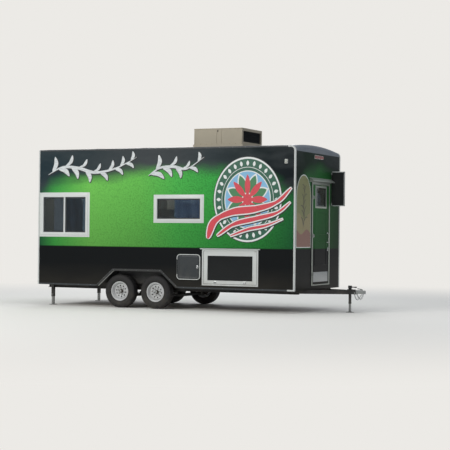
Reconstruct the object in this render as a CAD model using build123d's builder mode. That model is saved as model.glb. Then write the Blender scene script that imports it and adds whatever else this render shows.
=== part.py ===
from build123d import *
import math
import os

# A tandem-axle food trailer at its real size, in millimetres. X points forward to the coupler,
# Y to the trailer's left, Z up from the ground, and the origin is on the ground at the middle
# of the whole length and width. It is parked: four tyres, the tongue jack and two rear legs.

# Body shell
body_length = 6096
body_width = 2590
wall_thick = 50
skirt_z = 460
eave_z = 3400
roof_crown = 70
roof_thick = 50
front_radius = 100
roll_band = 100
tongue_reach = 1060
rear_reach = 50

overall_length = rear_reach + body_length + tongue_reach
rear_x = rear_reach - overall_length / 2
front_x = rear_x + body_length
half_width = body_width / 2
inner_y = half_width - wall_thick
inner_rear_x = rear_x + wall_thick
inner_front_x = front_x - wall_thick
front_wall_top_z = eave_z - roll_band

# Named clearances
seat_gap = 0.3
moving_gap = 8
pin_gap = 0.3

# Running gear
axle_mid = 2475
axle_spacing = 864
axle_z = 355
tyre_radius = 355
tyre_width = 225
tyre_inset = 25
rim_radius = 207
rim_width = 178
axle_xs = (rear_x + axle_mid - axle_spacing / 2, rear_x + axle_mid + axle_spacing / 2)
arch_x = rear_x + axle_mid
wheel_y = half_width - tyre_inset - tyre_width / 2

# Chassis
rail_inset = 365
rail_y = half_width - rail_inset
rail_flange = 60
rail_height = 140
rail_web = 7
rail_bottom_z = 380
rail_top_z = rail_bottom_z + rail_height
cross_height = 50
cross_width = 45
cross_pitch = 470
deck_thick = 25
floor_z = rail_top_z + deck_thick
perimeter_y = inner_y - cross_width / 2

# Wheel openings and the boxes over the tyres
arch_half_bottom = 945
arch_half_top = 568
arch_top_z = 790
arch_trim_width = 45
arch_trim_thick = 4
box_plate = 6
box_depth = 310
box_inner_y = half_width - box_depth
arch_slope = (arch_half_bottom - arch_half_top) / (arch_top_z - skirt_z)
arch_lean = math.hypot(1, arch_slope)


def arch_half(z):
    """Half the width of the wheel opening at a height: its slanted ends close in evenly."""
    return arch_half_bottom - arch_slope * (z - skirt_z)


os.makedirs("parts", exist_ok=True)


def save(part, label):
    """Labels a finished piece and writes it to its own file."""
    part.label = label
    export_step(part, f"parts/{label}.step")


# Suspension
spring_half = 337
spring_arch = 10
leaf_thick = 8
leaf_width = 45
leaf_halves = (spring_half, 280, 205, 125)
eye_radius = 16
eye_bore = 8
eye_z = 332
axle_tube_radius = 35
axle_pad = 8
spring_radius = (spring_half ** 2 + spring_arch ** 2) / (2 * spring_arch)
leaf_mid_z = eye_z - spring_arch
pack_bottom_z = leaf_mid_z + leaf_thick / 2 - leaf_thick * len(leaf_halves)
axle_tube_z = pack_bottom_z - axle_pad - axle_tube_radius
equalizer_half = 50
equalizer_z = 358
equalizer_pivot_z = 364
eye_inner = axle_spacing / 2 - spring_half
pin_radius = eye_bore - pin_gap
hanger_plate = 6
hanger_half = 24
hanger_foot = 0.7 * hanger_half
hanger_under = 0.8 * hanger_half
hanger_y = leaf_width / 2 + seat_gap + hanger_plate / 2

spring_ends = []
for axle_x in axle_xs:
    outer_x = axle_x + math.copysign(spring_half, axle_x - arch_x)
    spring_ends.append(outer_x)

# Two channel rails with the spring hangers welded under them.
with BuildPart() as main_rails:
    for side in (-1, 1):
        with BuildSketch(Plane.YZ.offset(rear_x + wall_thick)):
            with Locations((side * rail_y, rail_bottom_z + rail_height / 2)):
                Rectangle(rail_flange, rail_height)
            with Locations((side * (rail_y + rail_web), rail_bottom_z + rail_height / 2)):
                Rectangle(rail_flange, rail_height - 2 * rail_web, mode=Mode.SUBTRACT)
        extrude(amount=body_length - 2 * wall_thick)
        hangers = [(x, eye_z) for x in spring_ends] + [(arch_x, equalizer_pivot_z)]
        for hanger_x, hole_z in hangers:
            for cheek in (-1, 1):
                with BuildSketch(Plane.XZ.offset(-side * rail_y - cheek * hanger_y)):
                    with BuildLine():
                        Polyline(
                            (hanger_x - hanger_half, rail_bottom_z),
                            (hanger_x + hanger_half, rail_bottom_z),
                            (hanger_x + hanger_foot, hole_z - hanger_under),
                            (hanger_x - hanger_foot, hole_z - hanger_under),
                            close=True,
                        )
                    make_face()
                extrude(amount=hanger_plate / 2, both=True)
            with BuildSketch(Plane.XZ.offset(-side * rail_y)):
                with Locations((hanger_x, hole_z)):
                    Circle(pin_radius)
            extrude(amount=hanger_y, both=True)
save(main_rails.part, "main_rails")

# Floor cross tubes, stub tubes outside the rails and the edge tubes under the walls.
cross_z = rail_top_z - cross_height / 2
inner_span = 2 * (rail_y - rail_flange / 2)
stub_start = rail_y + rail_flange / 2
stub_length = perimeter_y - cross_width / 2 - stub_start
cross_count = int((body_length - 2 * wall_thick - 2 * cross_width) // cross_pitch)
cross_xs = [
    inner_rear_x + cross_width / 2 + i * (body_length - 2 * wall_thick - cross_width) / cross_count
    for i in range(cross_count + 1)
]
arch_clear = arch_half(rail_top_z) + box_plate + cross_width
with BuildPart() as cross_tubes:
    for cross_x in cross_xs:
        with Locations((cross_x, 0, cross_z)):
            Box(cross_width, inner_span, cross_height)
        if abs(cross_x - arch_x) > arch_clear:
            for side in (-1, 1):
                with Locations((cross_x, side * (stub_start + stub_length / 2), cross_z)):
                    Box(cross_width, stub_length, cross_height)
    for side in (-1, 1):
        for end_x, arch_edge in (
            (inner_rear_x, arch_x - arch_clear),
            (inner_front_x, arch_x + arch_clear),
        ):
            middle = (end_x + arch_edge) / 2
            with Locations((middle, side * perimeter_y, cross_z)):
                Box(abs(end_x - arch_edge), cross_width, cross_height)
save(cross_tubes.part, "cross_tubes")

# Tongue: two box legs run back under the floor to the main rails and meet at the coupler.
tongue_angle = 25
leg_width = 50
leg_bottom_z = rail_bottom_z
leg_top_z = skirt_z
coupler_overlap = 190
leg_nose_x = front_x + tongue_reach - coupler_overlap
leg_nose_y = 38
leg_root_y = rail_y - rail_flange / 2
leg_half_y = leg_width / 2 / math.cos(math.radians(tongue_angle))
leg_root_x = leg_nose_x - (leg_root_y - leg_half_y - leg_nose_y) / math.tan(math.radians(tongue_angle))
leg_cut = 2 * leg_half_y / math.tan(math.radians(tongue_angle))
jack_from_front = 720
jack_x = front_x + jack_from_front
jack_tube_radius = 30
jack_plate_thick = 10
jack_plate_width = 130
jack_plate_half = 170
jack_hole_height = 60
with BuildPart() as tongue_frame:
    for side in (-1, 1):
        with BuildSketch(Plane.XY.offset(leg_bottom_z)):
            with BuildLine():
                Polyline(
                    (leg_nose_x, side * (leg_nose_y - leg_half_y)),
                    (leg_nose_x, side * (leg_nose_y + leg_half_y)),
                    (leg_root_x, side * leg_root_y),
                    (leg_root_x - leg_cut, side * leg_root_y),
                    close=True,
                )
            make_face()
        extrude(amount=leg_top_z - leg_bottom_z)
    with Locations((jack_x, 0, leg_top_z + jack_plate_thick / 2)):
        Box(jack_plate_width, 2 * jack_plate_half, jack_plate_thick)
    with Locations((jack_x, 0, leg_top_z)):
        Cylinder(jack_tube_radius + seat_gap, jack_hole_height, mode=Mode.SUBTRACT)
save(tongue_frame.part, "tongue_frame")

# Coupler: a tapered pressed body with a ball socket open below and a latch lever on top.
ball_radius = 29.9
socket_depth = 45
coupler_top_z = leg_top_z
coupler_height = 70
coupler_nose_radius = 48
socket_x = front_x + tongue_reach - coupler_nose_radius
coupler_bottom_z = coupler_top_z - coupler_height
coupler_tail_half = leg_nose_y + leg_half_y
lever_front = 20
lever_back = 130
lever_knee = 60
lever_sunk = 4
lever_root_rise = 26
lever_tip_rise = 44
lever_thick = 10
lever_half = 14
coupler_chamfer = 8
with BuildPart() as coupler:
    with BuildSketch(Plane.XY.offset(coupler_bottom_z)):
        with BuildLine():
            ThreePointArc(
                (socket_x, coupler_nose_radius),
                (socket_x + coupler_nose_radius, 0),
                (socket_x, -coupler_nose_radius),
            )
            Polyline(
                (socket_x, -coupler_nose_radius),
                (leg_nose_x, -coupler_tail_half),
                (leg_nose_x, coupler_tail_half),
                (socket_x, coupler_nose_radius),
            )
        make_face()
    extrude(amount=coupler_height)
    chamfer(coupler.faces().sort_by(Axis.Z)[-1].edges(), coupler_chamfer)
    with BuildSketch(Plane.XY.offset(coupler_bottom_z)):
        with Locations((socket_x, 0)):
            Circle(ball_radius)
    extrude(amount=socket_depth, mode=Mode.SUBTRACT)
    with BuildSketch(Plane.XZ):
        with BuildLine():
            Polyline(
                (socket_x - lever_front, coupler_top_z - lever_sunk),
                (socket_x - lever_front, coupler_top_z + lever_root_rise),
                (socket_x - lever_back, coupler_top_z + lever_tip_rise),
                (socket_x - lever_back, coupler_top_z + lever_tip_rise - lever_thick),
                (socket_x - lever_knee, coupler_top_z + lever_root_rise - lever_thick),
                (socket_x - lever_knee, coupler_top_z - lever_sunk),
                close=True,
            )
        make_face()
    extrude(amount=lever_half, both=True)
save(coupler.part, "coupler")

# Tongue jack: a flanged tube with a gear head and a crank folded forward, low enough for the
# entry door to swing over it. The leg with its foot slides in the tube.
jack_tube_bottom_z = 180
jack_tube_top_z = 500
jack_bore = 25
jack_leg_radius = jack_bore - pin_gap
jack_leg_top_z = 340
foot_radius = 85
foot_thick = 8
jack_head_radius = 40
jack_head_height = 55
jack_collar_radius = 55
jack_collar_thick = 12
crank_radius = 8
crank_shaft = 60
crank_arm = 180
crank_arm_wide = 20
crank_arm_thick = 10
crank_grip = 90
crank_z = jack_tube_top_z + jack_head_height / 2
with BuildPart() as jack_tube:
    with BuildSketch(Plane.XY.offset(jack_tube_bottom_z)):
        with Locations((jack_x, 0)):
            Circle(jack_tube_radius)
            Circle(jack_bore, mode=Mode.SUBTRACT)
    extrude(amount=jack_tube_top_z - jack_tube_bottom_z)
    with BuildSketch(Plane.XY.offset(jack_tube_top_z)):
        with Locations((jack_x, 0)):
            Circle(jack_head_radius)
    extrude(amount=jack_head_height)
    with BuildSketch(Plane.XY.offset(leg_top_z + jack_plate_thick)):
        with Locations((jack_x, 0)):
            Circle(jack_collar_radius)
            Circle(jack_bore, mode=Mode.SUBTRACT)
    extrude(amount=jack_collar_thick)
    with BuildSketch(Plane.XZ):
        with Locations((jack_x, crank_z)):
            Circle(crank_radius)
    extrude(amount=crank_shaft)
    with Locations((jack_x + crank_arm / 2 - crank_radius, -crank_shaft - crank_arm_thick / 2, crank_z)):
        Box(crank_arm, crank_arm_thick, crank_arm_wide)
    with BuildSketch(Plane.XZ.offset(crank_shaft + crank_arm_thick)):
        with Locations((jack_x + crank_arm - 3 * crank_radius, crank_z)):
            Circle(crank_radius)
    extrude(amount=crank_grip)
save(jack_tube.part, "jack_tube")

with BuildPart() as jack_leg:
    with BuildSketch(Plane.XY):
        with Locations((jack_x, 0)):
            Circle(foot_radius)
    extrude(amount=foot_thick)
    with BuildSketch(Plane.XY.offset(foot_thick)):
        with Locations((jack_x, 0)):
            Circle(jack_leg_radius)
    extrude(amount=jack_leg_top_z - foot_thick)
save(jack_leg.part, "jack_leg")

# Rear stabilizer legs in square tubes on the outside of the rails.
stab_from_rear = 210
stab_x = rear_x + stab_from_rear
stab_size = 62
stab_bore = 50
stab_leg = stab_bore - 2 * pin_gap
stab_y = rail_y + rail_flange / 2 + stab_size / 2
stab_bottom_z = 180
stab_top_z = rail_top_z - cross_height - 4
stab_leg_top_z = 335
stab_foot = 130
with BuildPart() as stabilizer_tubes:
    for side in (-1, 1):
        with BuildSketch(Plane.XY.offset(stab_bottom_z)):
            with Locations((stab_x, side * stab_y)):
                Rectangle(stab_size, stab_size)
                Rectangle(stab_bore, stab_bore, mode=Mode.SUBTRACT)
        extrude(amount=stab_top_z - stab_bottom_z)
save(stabilizer_tubes.part, "stabilizer_tubes")

for side, side_name in ((-1, "right"), (1, "left")):
    with BuildPart() as stabilizer_leg:
        with Locations((stab_x, side * stab_y, foot_thick / 2)):
            Box(stab_foot, stab_foot, foot_thick)
        with BuildSketch(Plane.XY.offset(foot_thick)):
            with Locations((stab_x, side * stab_y)):
                Rectangle(stab_leg, stab_leg)
        extrude(amount=stab_leg_top_z - foot_thick)
    save(stabilizer_leg.part, f"stabilizer_leg_{side_name}")

# Drop axles: a straight tube, an upright at each end and a spindle four inches higher.
drop_inset = 172.5
drop_y = wheel_y - drop_inset
axle_pad_long = 100
drop_thick = 24
drop_width = 84
backing_radius = 128
backing_thick = 6
spindle_radius = 22
spindle_reach = 30
spindle_tip_y = wheel_y + spindle_reach
with BuildPart() as axles:
    for axle_x in axle_xs:
        with BuildSketch(Plane.XZ):
            with Locations((axle_x, axle_tube_z)):
                Circle(axle_tube_radius)
        extrude(amount=drop_y, both=True)
        for side in (-1, 1):
            with Locations((axle_x, side * rail_y, axle_tube_z + axle_tube_radius / 2 + axle_pad / 2)):
                Box(axle_pad_long, leaf_width, axle_tube_radius + axle_pad)
            with BuildSketch(Plane.XZ.offset(-side * (drop_y + drop_thick / 2))):
                with Locations((axle_x, (axle_z + axle_tube_z) / 2)):
                    Rectangle(drop_width, axle_z - axle_tube_z + drop_width)
            extrude(amount=drop_thick / 2, both=True)
            with BuildSketch(Plane.XZ.offset(-side * (drop_y + drop_thick + backing_thick / 2))):
                with Locations((axle_x, axle_z)):
                    Circle(backing_radius)
            extrude(amount=backing_thick / 2, both=True)
            with BuildSketch(Plane.XZ.offset(-side * (drop_y + drop_thick))):
                with Locations((axle_x, axle_z)):
                    Circle(spindle_radius)
            extrude(amount=-side * (spindle_tip_y - drop_y - drop_thick))
save(axles.part, "axles")

# Leaf packs with rolled eyes, and the equalizers and shackles that join each pair.
with BuildPart() as leaf_springs:
    for axle_x in axle_xs:
        for side in (-1, 1):
            centre = (axle_x, leaf_mid_z + spring_radius)
            for i, leaf_half in enumerate(leaf_halves):
                inner_r = spring_radius - leaf_thick / 2 + i * leaf_thick
                outer_r = inner_r + leaf_thick
                sweep_deg = math.degrees(math.asin(leaf_half / spring_radius))
                with BuildSketch(Plane.XZ.offset(-side * rail_y)):
                    with BuildLine():
                        top_arc = CenterArc(centre, inner_r, 270 - sweep_deg, 2 * sweep_deg)
                        low_arc = CenterArc(centre, outer_r, 270 - sweep_deg, 2 * sweep_deg)
                        Line(top_arc @ 0, low_arc @ 0)
                        Line(top_arc @ 1, low_arc @ 1)
                    make_face()
                extrude(amount=leaf_width / 2, both=True)
            for end in (-1, 1):
                with BuildSketch(Plane.XZ.offset(-side * rail_y)):
                    with Locations((axle_x + end * spring_half, eye_z)):
                        Circle(eye_radius)
                extrude(amount=leaf_width / 2, both=True)
                with BuildSketch(Plane.XZ.offset(-side * rail_y)):
                    with Locations((axle_x + end * spring_half, eye_z)):
                        Circle(eye_bore)
                extrude(amount=leaf_width / 2, both=True, mode=Mode.SUBTRACT)
save(leaf_springs.part, "leaf_springs")

shackle_thick = 8
shackle_wide = 24
equalizer_tip = equalizer_half + 14
equalizer_crown = 15
equalizer_belly = 26
tip_top = 4
tip_under = 14
shackle_y = leaf_width / 2 + seat_gap + shackle_thick / 2
with BuildPart() as equalizers:
    for side in (-1, 1):
        with BuildSketch(Plane.XZ.offset(-side * rail_y)):
            with BuildLine():
                ThreePointArc(
                    (arch_x - equalizer_tip, equalizer_z - tip_top),
                    (arch_x, equalizer_pivot_z + equalizer_crown),
                    (arch_x + equalizer_tip, equalizer_z - tip_top),
                )
                Line(
                    (arch_x + equalizer_tip, equalizer_z - tip_top),
                    (arch_x + equalizer_half, equalizer_z - tip_under),
                )
                ThreePointArc(
                    (arch_x + equalizer_half, equalizer_z - tip_under),
                    (arch_x, equalizer_pivot_z - equalizer_belly),
                    (arch_x - equalizer_half, equalizer_z - tip_under),
                )
                Line(
                    (arch_x - equalizer_half, equalizer_z - tip_under),
                    (arch_x - equalizer_tip, equalizer_z - tip_top),
                )
            make_face()
            with Locations((arch_x, equalizer_pivot_z)):
                Circle(eye_bore, mode=Mode.SUBTRACT)
        extrude(amount=leaf_width / 2, both=True)
        for end in (-1, 1):
            eye_x = arch_x + end * eye_inner
            hole_x = arch_x + end * equalizer_half
            tilt = math.degrees(math.atan2(eye_z - equalizer_z, eye_x - hole_x))
            reach = math.hypot(eye_x - hole_x, eye_z - equalizer_z)
            for cheek in (-1, 1):
                with BuildSketch(Plane.XZ.offset(-side * rail_y - cheek * shackle_y)):
                    with Locations(((eye_x + hole_x) / 2, (eye_z + equalizer_z) / 2)):
                        Rectangle(reach + shackle_wide, shackle_wide, rotation=tilt)
                extrude(amount=shackle_thick / 2, both=True)
            with BuildSketch(Plane.XZ.offset(-side * rail_y)):
                with Locations((eye_x, eye_z), (hole_x, equalizer_z)):
                    Circle(pin_radius)
            extrude(amount=shackle_y, both=True)
save(equalizers.part, "equalizers")

# Floor deck, cut away over the wheels.
deck_cut_half = arch_half(rail_top_z) + box_plate * arch_lean + seat_gap
with BuildPart() as floor_deck:
    with Locations((rear_x + body_length / 2, 0, rail_top_z + deck_thick / 2)):
        Box(body_length - 2 * wall_thick, 2 * inner_y, deck_thick)
    deck_cut_y = box_inner_y - box_plate - seat_gap
    for side in (-1, 1):
        with Locations((arch_x, side * (inner_y + deck_cut_y) / 2, rail_top_z + deck_thick / 2)):
            Box(2 * deck_cut_half, inner_y - deck_cut_y, deck_thick, mode=Mode.SUBTRACT)
save(floor_deck.part, "floor_deck")


def arch_outline(grow, bottom_z):
    """Corners of the wheel opening's slanted outline, grown outwards and cut off at a height."""
    side_grow = grow * arch_lean
    low = arch_half(bottom_z) + side_grow
    high = arch_half(arch_top_z + grow) + side_grow
    return (
        (arch_x - low, bottom_z),
        (arch_x - high, arch_top_z + grow),
        (arch_x + high, arch_top_z + grow),
        (arch_x + low, bottom_z),
    )


# Welded boxes over the tyres, open outwards and below.
with BuildPart() as wheel_boxes:
    for side in (-1, 1):
        box_far_y = box_inner_y - box_plate
        with BuildSketch(Plane.XZ.offset(-side * inner_y)):
            with BuildLine():
                Polyline(*arch_outline(box_plate, rail_top_z), close=True)
            make_face()
        extrude(amount=side * (inner_y - box_far_y))
        with BuildSketch(Plane.XZ.offset(-side * inner_y)):
            with BuildLine():
                Polyline(*arch_outline(0, rail_top_z), close=True)
            make_face()
        extrude(amount=side * (inner_y - box_inner_y), mode=Mode.SUBTRACT)
save(wheel_boxes.part, "wheel_boxes")

# Openings in the walls: places along the body are measured from its rear face.
serving_glass = (133, 1205, 1604, 2370)
middle_glass = (2959, 3971, 1906, 2330)
frame_wide = 100
frame_mid_wide = 84
frame_proud = 16
sleeve_wide = 30
hatch_door = (4030, 5300, 531, 1277)
small_door = (3440, 3985, 641, 1170)
small_door_radius = 75
hatch_frame_wide = 28
small_frame_wide = 14
service_opening = (3300, 5130, 1485, 2395)
entry_opening = (-335, 605, 2650)
entry_sill_z = floor_z
jamb_thick = 20


def span_sketch(span, inset=0, radius=0):
    """A rectangle from a (start, end, low, high) span along the body, grown or shrunk."""
    start, end, low, high = span
    with Locations((rear_x + (start + end) / 2, (low + high) / 2)):
        if radius:
            RectangleRounded(end - start - 2 * inset, high - low - 2 * inset, radius)
        else:
            Rectangle(end - start - 2 * inset, high - low - 2 * inset)


def side_outline(grow=0):
    """A side wall's outline: square behind, rounded at the top of the front."""
    with BuildSketch(mode=Mode.PRIVATE) as outline:
        with Locations((rear_x + body_length / 2, (skirt_z + eave_z) / 2)):
            Rectangle(body_length + 2 * grow, eave_z - skirt_z + 2 * grow)
        corner = outline.vertices().sort_by(lambda v: v.X + v.Y)[-1]
        fillet(corner, front_radius + grow)
    return outline.sketch


with BuildPart() as right_wall:
    with BuildSketch(Plane.XZ.offset(half_width)):
        add(side_outline())
        with BuildLine():
            Polyline(*arch_outline(0, skirt_z), close=True)
        make_face(mode=Mode.SUBTRACT)
        with BuildSketch(mode=Mode.SUBTRACT):
            span_sketch(serving_glass, -sleeve_wide)
            span_sketch(middle_glass, -sleeve_wide)
            span_sketch(hatch_door, hatch_frame_wide)
            span_sketch(small_door, small_frame_wide, small_door_radius)
    extrude(amount=-wall_thick)
save(right_wall.part, "right_wall")

with BuildPart() as left_wall:
    with BuildSketch(Plane.XZ.offset(-half_width)):
        add(side_outline())
        with BuildLine():
            Polyline(*arch_outline(0, skirt_z), close=True)
        make_face(mode=Mode.SUBTRACT)
        with BuildSketch(mode=Mode.SUBTRACT):
            span_sketch(service_opening)
    extrude(amount=wall_thick)
save(left_wall.part, "left_wall")

with BuildPart() as front_wall:
    door_start, door_end, door_top = entry_opening
    with BuildSketch(Plane.YZ.offset(inner_front_x)):
        with Locations((0, (skirt_z + front_wall_top_z) / 2)):
            Rectangle(2 * inner_y, front_wall_top_z - skirt_z)
        with Locations(((door_start + door_end) / 2, (entry_sill_z + door_top + jamb_thick) / 2)):
            Rectangle(
                door_end - door_start + 2 * jamb_thick,
                door_top + jamb_thick - entry_sill_z,
                mode=Mode.SUBTRACT,
            )
    extrude(amount=wall_thick)
save(front_wall.part, "front_wall")


def crown_face(drop, bottom_z):
    """The roof's cross-section: an arc over the inner width, lowered, with a flat bottom."""
    with BuildSketch(mode=Mode.PRIVATE) as section:
        with BuildLine():
            ThreePointArc(
                (-inner_y, eave_z - drop),
                (0, eave_z + roof_crown - drop),
                (inner_y, eave_z - drop),
            )
            Polyline(
                (inner_y, eave_z - drop),
                (inner_y, bottom_z),
                (-inner_y, bottom_z),
                (-inner_y, eave_z - drop),
            )
        make_face()
    return section.sketch


with BuildPart() as rear_wall:
    with BuildSketch(Plane.YZ.offset(rear_x)):
        add(crown_face(roof_thick, skirt_z))
    extrude(amount=wall_thick)
save(rear_wall.part, "rear_wall")

# Crowned roof, rolled down over the front wall.
with BuildPart() as roof_inside:
    with BuildSketch(Plane.YZ.offset(rear_x)):
        add(crown_face(roof_thick, front_wall_top_z))
    extrude(amount=body_length - wall_thick)
    inside_top = roof_inside.edges().filter_by_position(Axis.X, inner_front_x - 1, inner_front_x + 1)
    fillet(inside_top.sort_by(Axis.Z)[-1], front_radius - roof_thick)

with BuildPart() as roof:
    with BuildSketch(Plane.YZ.offset(rear_x)):
        add(crown_face(0, front_wall_top_z))
    extrude(amount=body_length)
    front_top = roof.edges().filter_by_position(Axis.X, front_x - 1, front_x + 1)
    fillet(front_top.sort_by(Axis.Z)[-1], front_radius)
    add(roof_inside.part, mode=Mode.SUBTRACT)
save(roof.part, "roof")

# Bright edge trims: an angle along each side wall's edges, and the frames round the tyres.
trim_wide = 28
trim_thick = 3
trim_return = 31
with BuildPart() as edge_trims:
    for side in (-1, 1):
        with BuildSketch(Plane.XZ.offset(-side * half_width)):
            add(side_outline(trim_thick))
            add(side_outline(-trim_wide), mode=Mode.SUBTRACT)
            with BuildLine():
                Polyline(*arch_outline(arch_trim_width + seat_gap, skirt_z - trim_thick), close=True)
            make_face(mode=Mode.SUBTRACT)
        extrude(amount=-side * trim_thick)
        with BuildSketch(Plane.XZ.offset(-side * (half_width + trim_thick))):
            add(side_outline(trim_thick))
            add(side_outline(), mode=Mode.SUBTRACT)
            with Locations((rear_x + body_length / 2, skirt_z)):
                Rectangle(body_length + 2 * trim_thick, 2 * trim_thick, mode=Mode.SUBTRACT)
        extrude(amount=side * trim_return)
save(edge_trims.part, "edge_trims")

with BuildPart() as arch_trims:
    for side in (-1, 1):
        with BuildSketch(Plane.XZ.offset(-side * half_width)):
            with BuildLine():
                Polyline(*arch_outline(arch_trim_width, skirt_z), close=True)
            make_face()
            with BuildLine():
                Polyline(*arch_outline(0, skirt_z), close=True)
            make_face(mode=Mode.SUBTRACT)
        extrude(amount=-side * arch_trim_thick)
save(arch_trims.part, "arch_trims")


# Windows: a flange outside the wall and a sleeve through it round each opening.
pane_thick = 6
mullion_x = 668
mullion_wide = 34
mullion_set_back = 4
mullion_deep = 34
front_sash_depth = 6
rear_sash_depth = 22
middle_pane_depth = 12
with BuildPart() as window_frames:
    for glass, wide in ((serving_glass, frame_wide), (middle_glass, frame_mid_wide)):
        with BuildSketch(Plane.XZ.offset(half_width)):
            span_sketch(glass, -wide)
            with BuildSketch(mode=Mode.SUBTRACT):
                span_sketch(glass)
        extrude(amount=frame_proud)
        with BuildSketch(Plane.XZ.offset(half_width)):
            span_sketch(glass, seat_gap - sleeve_wide)
            with BuildSketch(mode=Mode.SUBTRACT):
                span_sketch(glass)
        extrude(amount=-wall_thick)
    with BuildSketch(Plane.XZ.offset(half_width + frame_proud - mullion_set_back)):
        with Locations((rear_x + mullion_x, (serving_glass[2] + serving_glass[3]) / 2)):
            Rectangle(mullion_wide, serving_glass[3] - serving_glass[2])
    extrude(amount=-mullion_deep)
save(window_frames.part, "window_frames")

with BuildPart() as window_glass:
    panes = (
        (serving_glass[0], mullion_x, serving_glass[2], serving_glass[3], front_sash_depth),
        (mullion_x, serving_glass[1], serving_glass[2], serving_glass[3], rear_sash_depth),
        (middle_glass[0], middle_glass[1], middle_glass[2], middle_glass[3], middle_pane_depth),
    )
    for start, end, low, high, depth in panes:
        from_bar = mullion_wide / 2
        left = start + (from_bar if start == mullion_x else 0)
        right = end - (from_bar if end == mullion_x else 0)
        with BuildSketch(Plane.XZ.offset(half_width - depth)):
            span_sketch((left, right, low, high))
        extrude(amount=-pane_thick)
save(window_glass.part, "window_glass")

# Hinges, in a plane whose X points out of the wall and whose Y runs from the pin to the leaf.
knuckle_radius = 8
hinge_pin_radius = 4
knuckle_height = 60
lug_height = 10
lug_gap = 0.5
strap_reach = 80
long_strap_reach = 40
strap_rise = 6
leaf_sink = 4
bite = 0.5


def fixed_hinges(plane, places, length=knuckle_height):
    """Lugs and pins on the fixed side, at places along the pin's line."""
    with BuildPart() as lugs:
        for place in places:
            for start in (place - lug_gap - lug_height, place + length + lug_gap):
                with BuildSketch(plane.offset(start)):
                    Circle(knuckle_radius)
                    with Locations((-(knuckle_radius + seat_gap + bite) / 2, 0)):
                        Rectangle(knuckle_radius + seat_gap + bite, 2 * knuckle_radius)
                extrude(amount=lug_height)
            with BuildSketch(plane.offset(place - lug_gap)):
                Circle(hinge_pin_radius)
            extrude(amount=length + 2 * lug_gap)
    return lugs.part


def leaf_hinges(plane, places, length=knuckle_height, reach=strap_reach):
    """Knuckles with straps on the leaf's face, bored for the pins."""
    face = -(knuckle_radius + seat_gap + leaf_sink)
    with BuildPart() as knuckles:
        for place in places:
            with BuildSketch(plane.offset(place)):
                Circle(knuckle_radius)
                with Locations((face - bite, hinge_pin_radius)):
                    Rectangle(bite + strap_rise, reach, align=(Align.MIN, Align.MIN))
                Circle(hinge_pin_radius + pin_gap, mode=Mode.SUBTRACT)
            extrude(amount=length)
    return knuckles.part


def hinge_plane(origin, outward, along):
    """A hinge's plane, with its X out of the wall and its Z along the pin."""
    return Plane(origin=origin, x_dir=outward, z_dir=along)


hinge_out = knuckle_radius + seat_gap

# Entry door in the front wall: a frame with a drip hood, and a leaf with a small window.
entry_flange = 50
entry_proud = 12
entry_axis_x = front_x + entry_proud + hinge_out
entry_plane = hinge_plane((entry_axis_x, door_start, 0), (1, 0, 0), (0, 0, 1))
entry_hinges = (750, 1550, 2350)
sill_height = 20
leaf_thick_door = 40
entry_leaf_x = front_x + entry_proud - leaf_sink
entry_glass = (-170, 400, 2200, 2590)
hood_reach = 95
hood_half = 628
hood_mid_y = 107
hood_low_z = 2712
hood_high_z = 2790
hood_sheet = 6
hood_top_sheet = 10
hood_roll = 15
hood_roll_rise = 24
hood_inner_set = 20
hood_inner_rise = 18
hood_over_frame = 4
door_mid = (door_start + door_end) / 2
door_wide = door_end - door_start
with BuildPart() as entry_frame:
    with BuildSketch(Plane.YZ.offset(front_x)):
        with Locations((door_mid, (entry_sill_z + door_top + entry_flange) / 2)):
            Rectangle(door_wide + 2 * entry_flange, door_top + entry_flange - entry_sill_z)
        with Locations((door_mid, (entry_sill_z + sill_height + door_top) / 2)):
            Rectangle(door_wide, door_top - entry_sill_z - sill_height, mode=Mode.SUBTRACT)
    extrude(amount=entry_proud)
    with BuildSketch(Plane.YZ.offset(front_x)):
        with Locations((door_mid, (entry_sill_z + door_top + jamb_thick) / 2)):
            Rectangle(
                door_wide + 2 * jamb_thick - 2 * seat_gap,
                door_top + jamb_thick - seat_gap - entry_sill_z,
            )
        with Locations((door_mid, (entry_sill_z + sill_height + door_top) / 2)):
            Rectangle(door_wide, door_top - entry_sill_z - sill_height, mode=Mode.SUBTRACT)
    extrude(amount=-wall_thick)
    with BuildSketch(Plane.XZ.offset(-hood_mid_y)):
        with BuildLine():
            Polyline(
                (front_x, hood_high_z),
                (front_x + hood_reach - hood_roll, hood_low_z + hood_roll_rise),
                (front_x + hood_reach, hood_low_z),
                (front_x + hood_reach - hood_sheet, hood_low_z),
                (front_x + hood_reach - hood_inner_set, hood_low_z + hood_inner_rise),
                (front_x + hood_sheet, hood_high_z - hood_top_sheet),
                (front_x + hood_sheet, door_top + entry_flange - hood_over_frame),
                (front_x, door_top + entry_flange - hood_over_frame),
                close=True,
            )
        make_face()
    extrude(amount=hood_half, both=True)
    add(fixed_hinges(entry_plane, entry_hinges))
save(entry_frame.part, "entry_frame")

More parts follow.
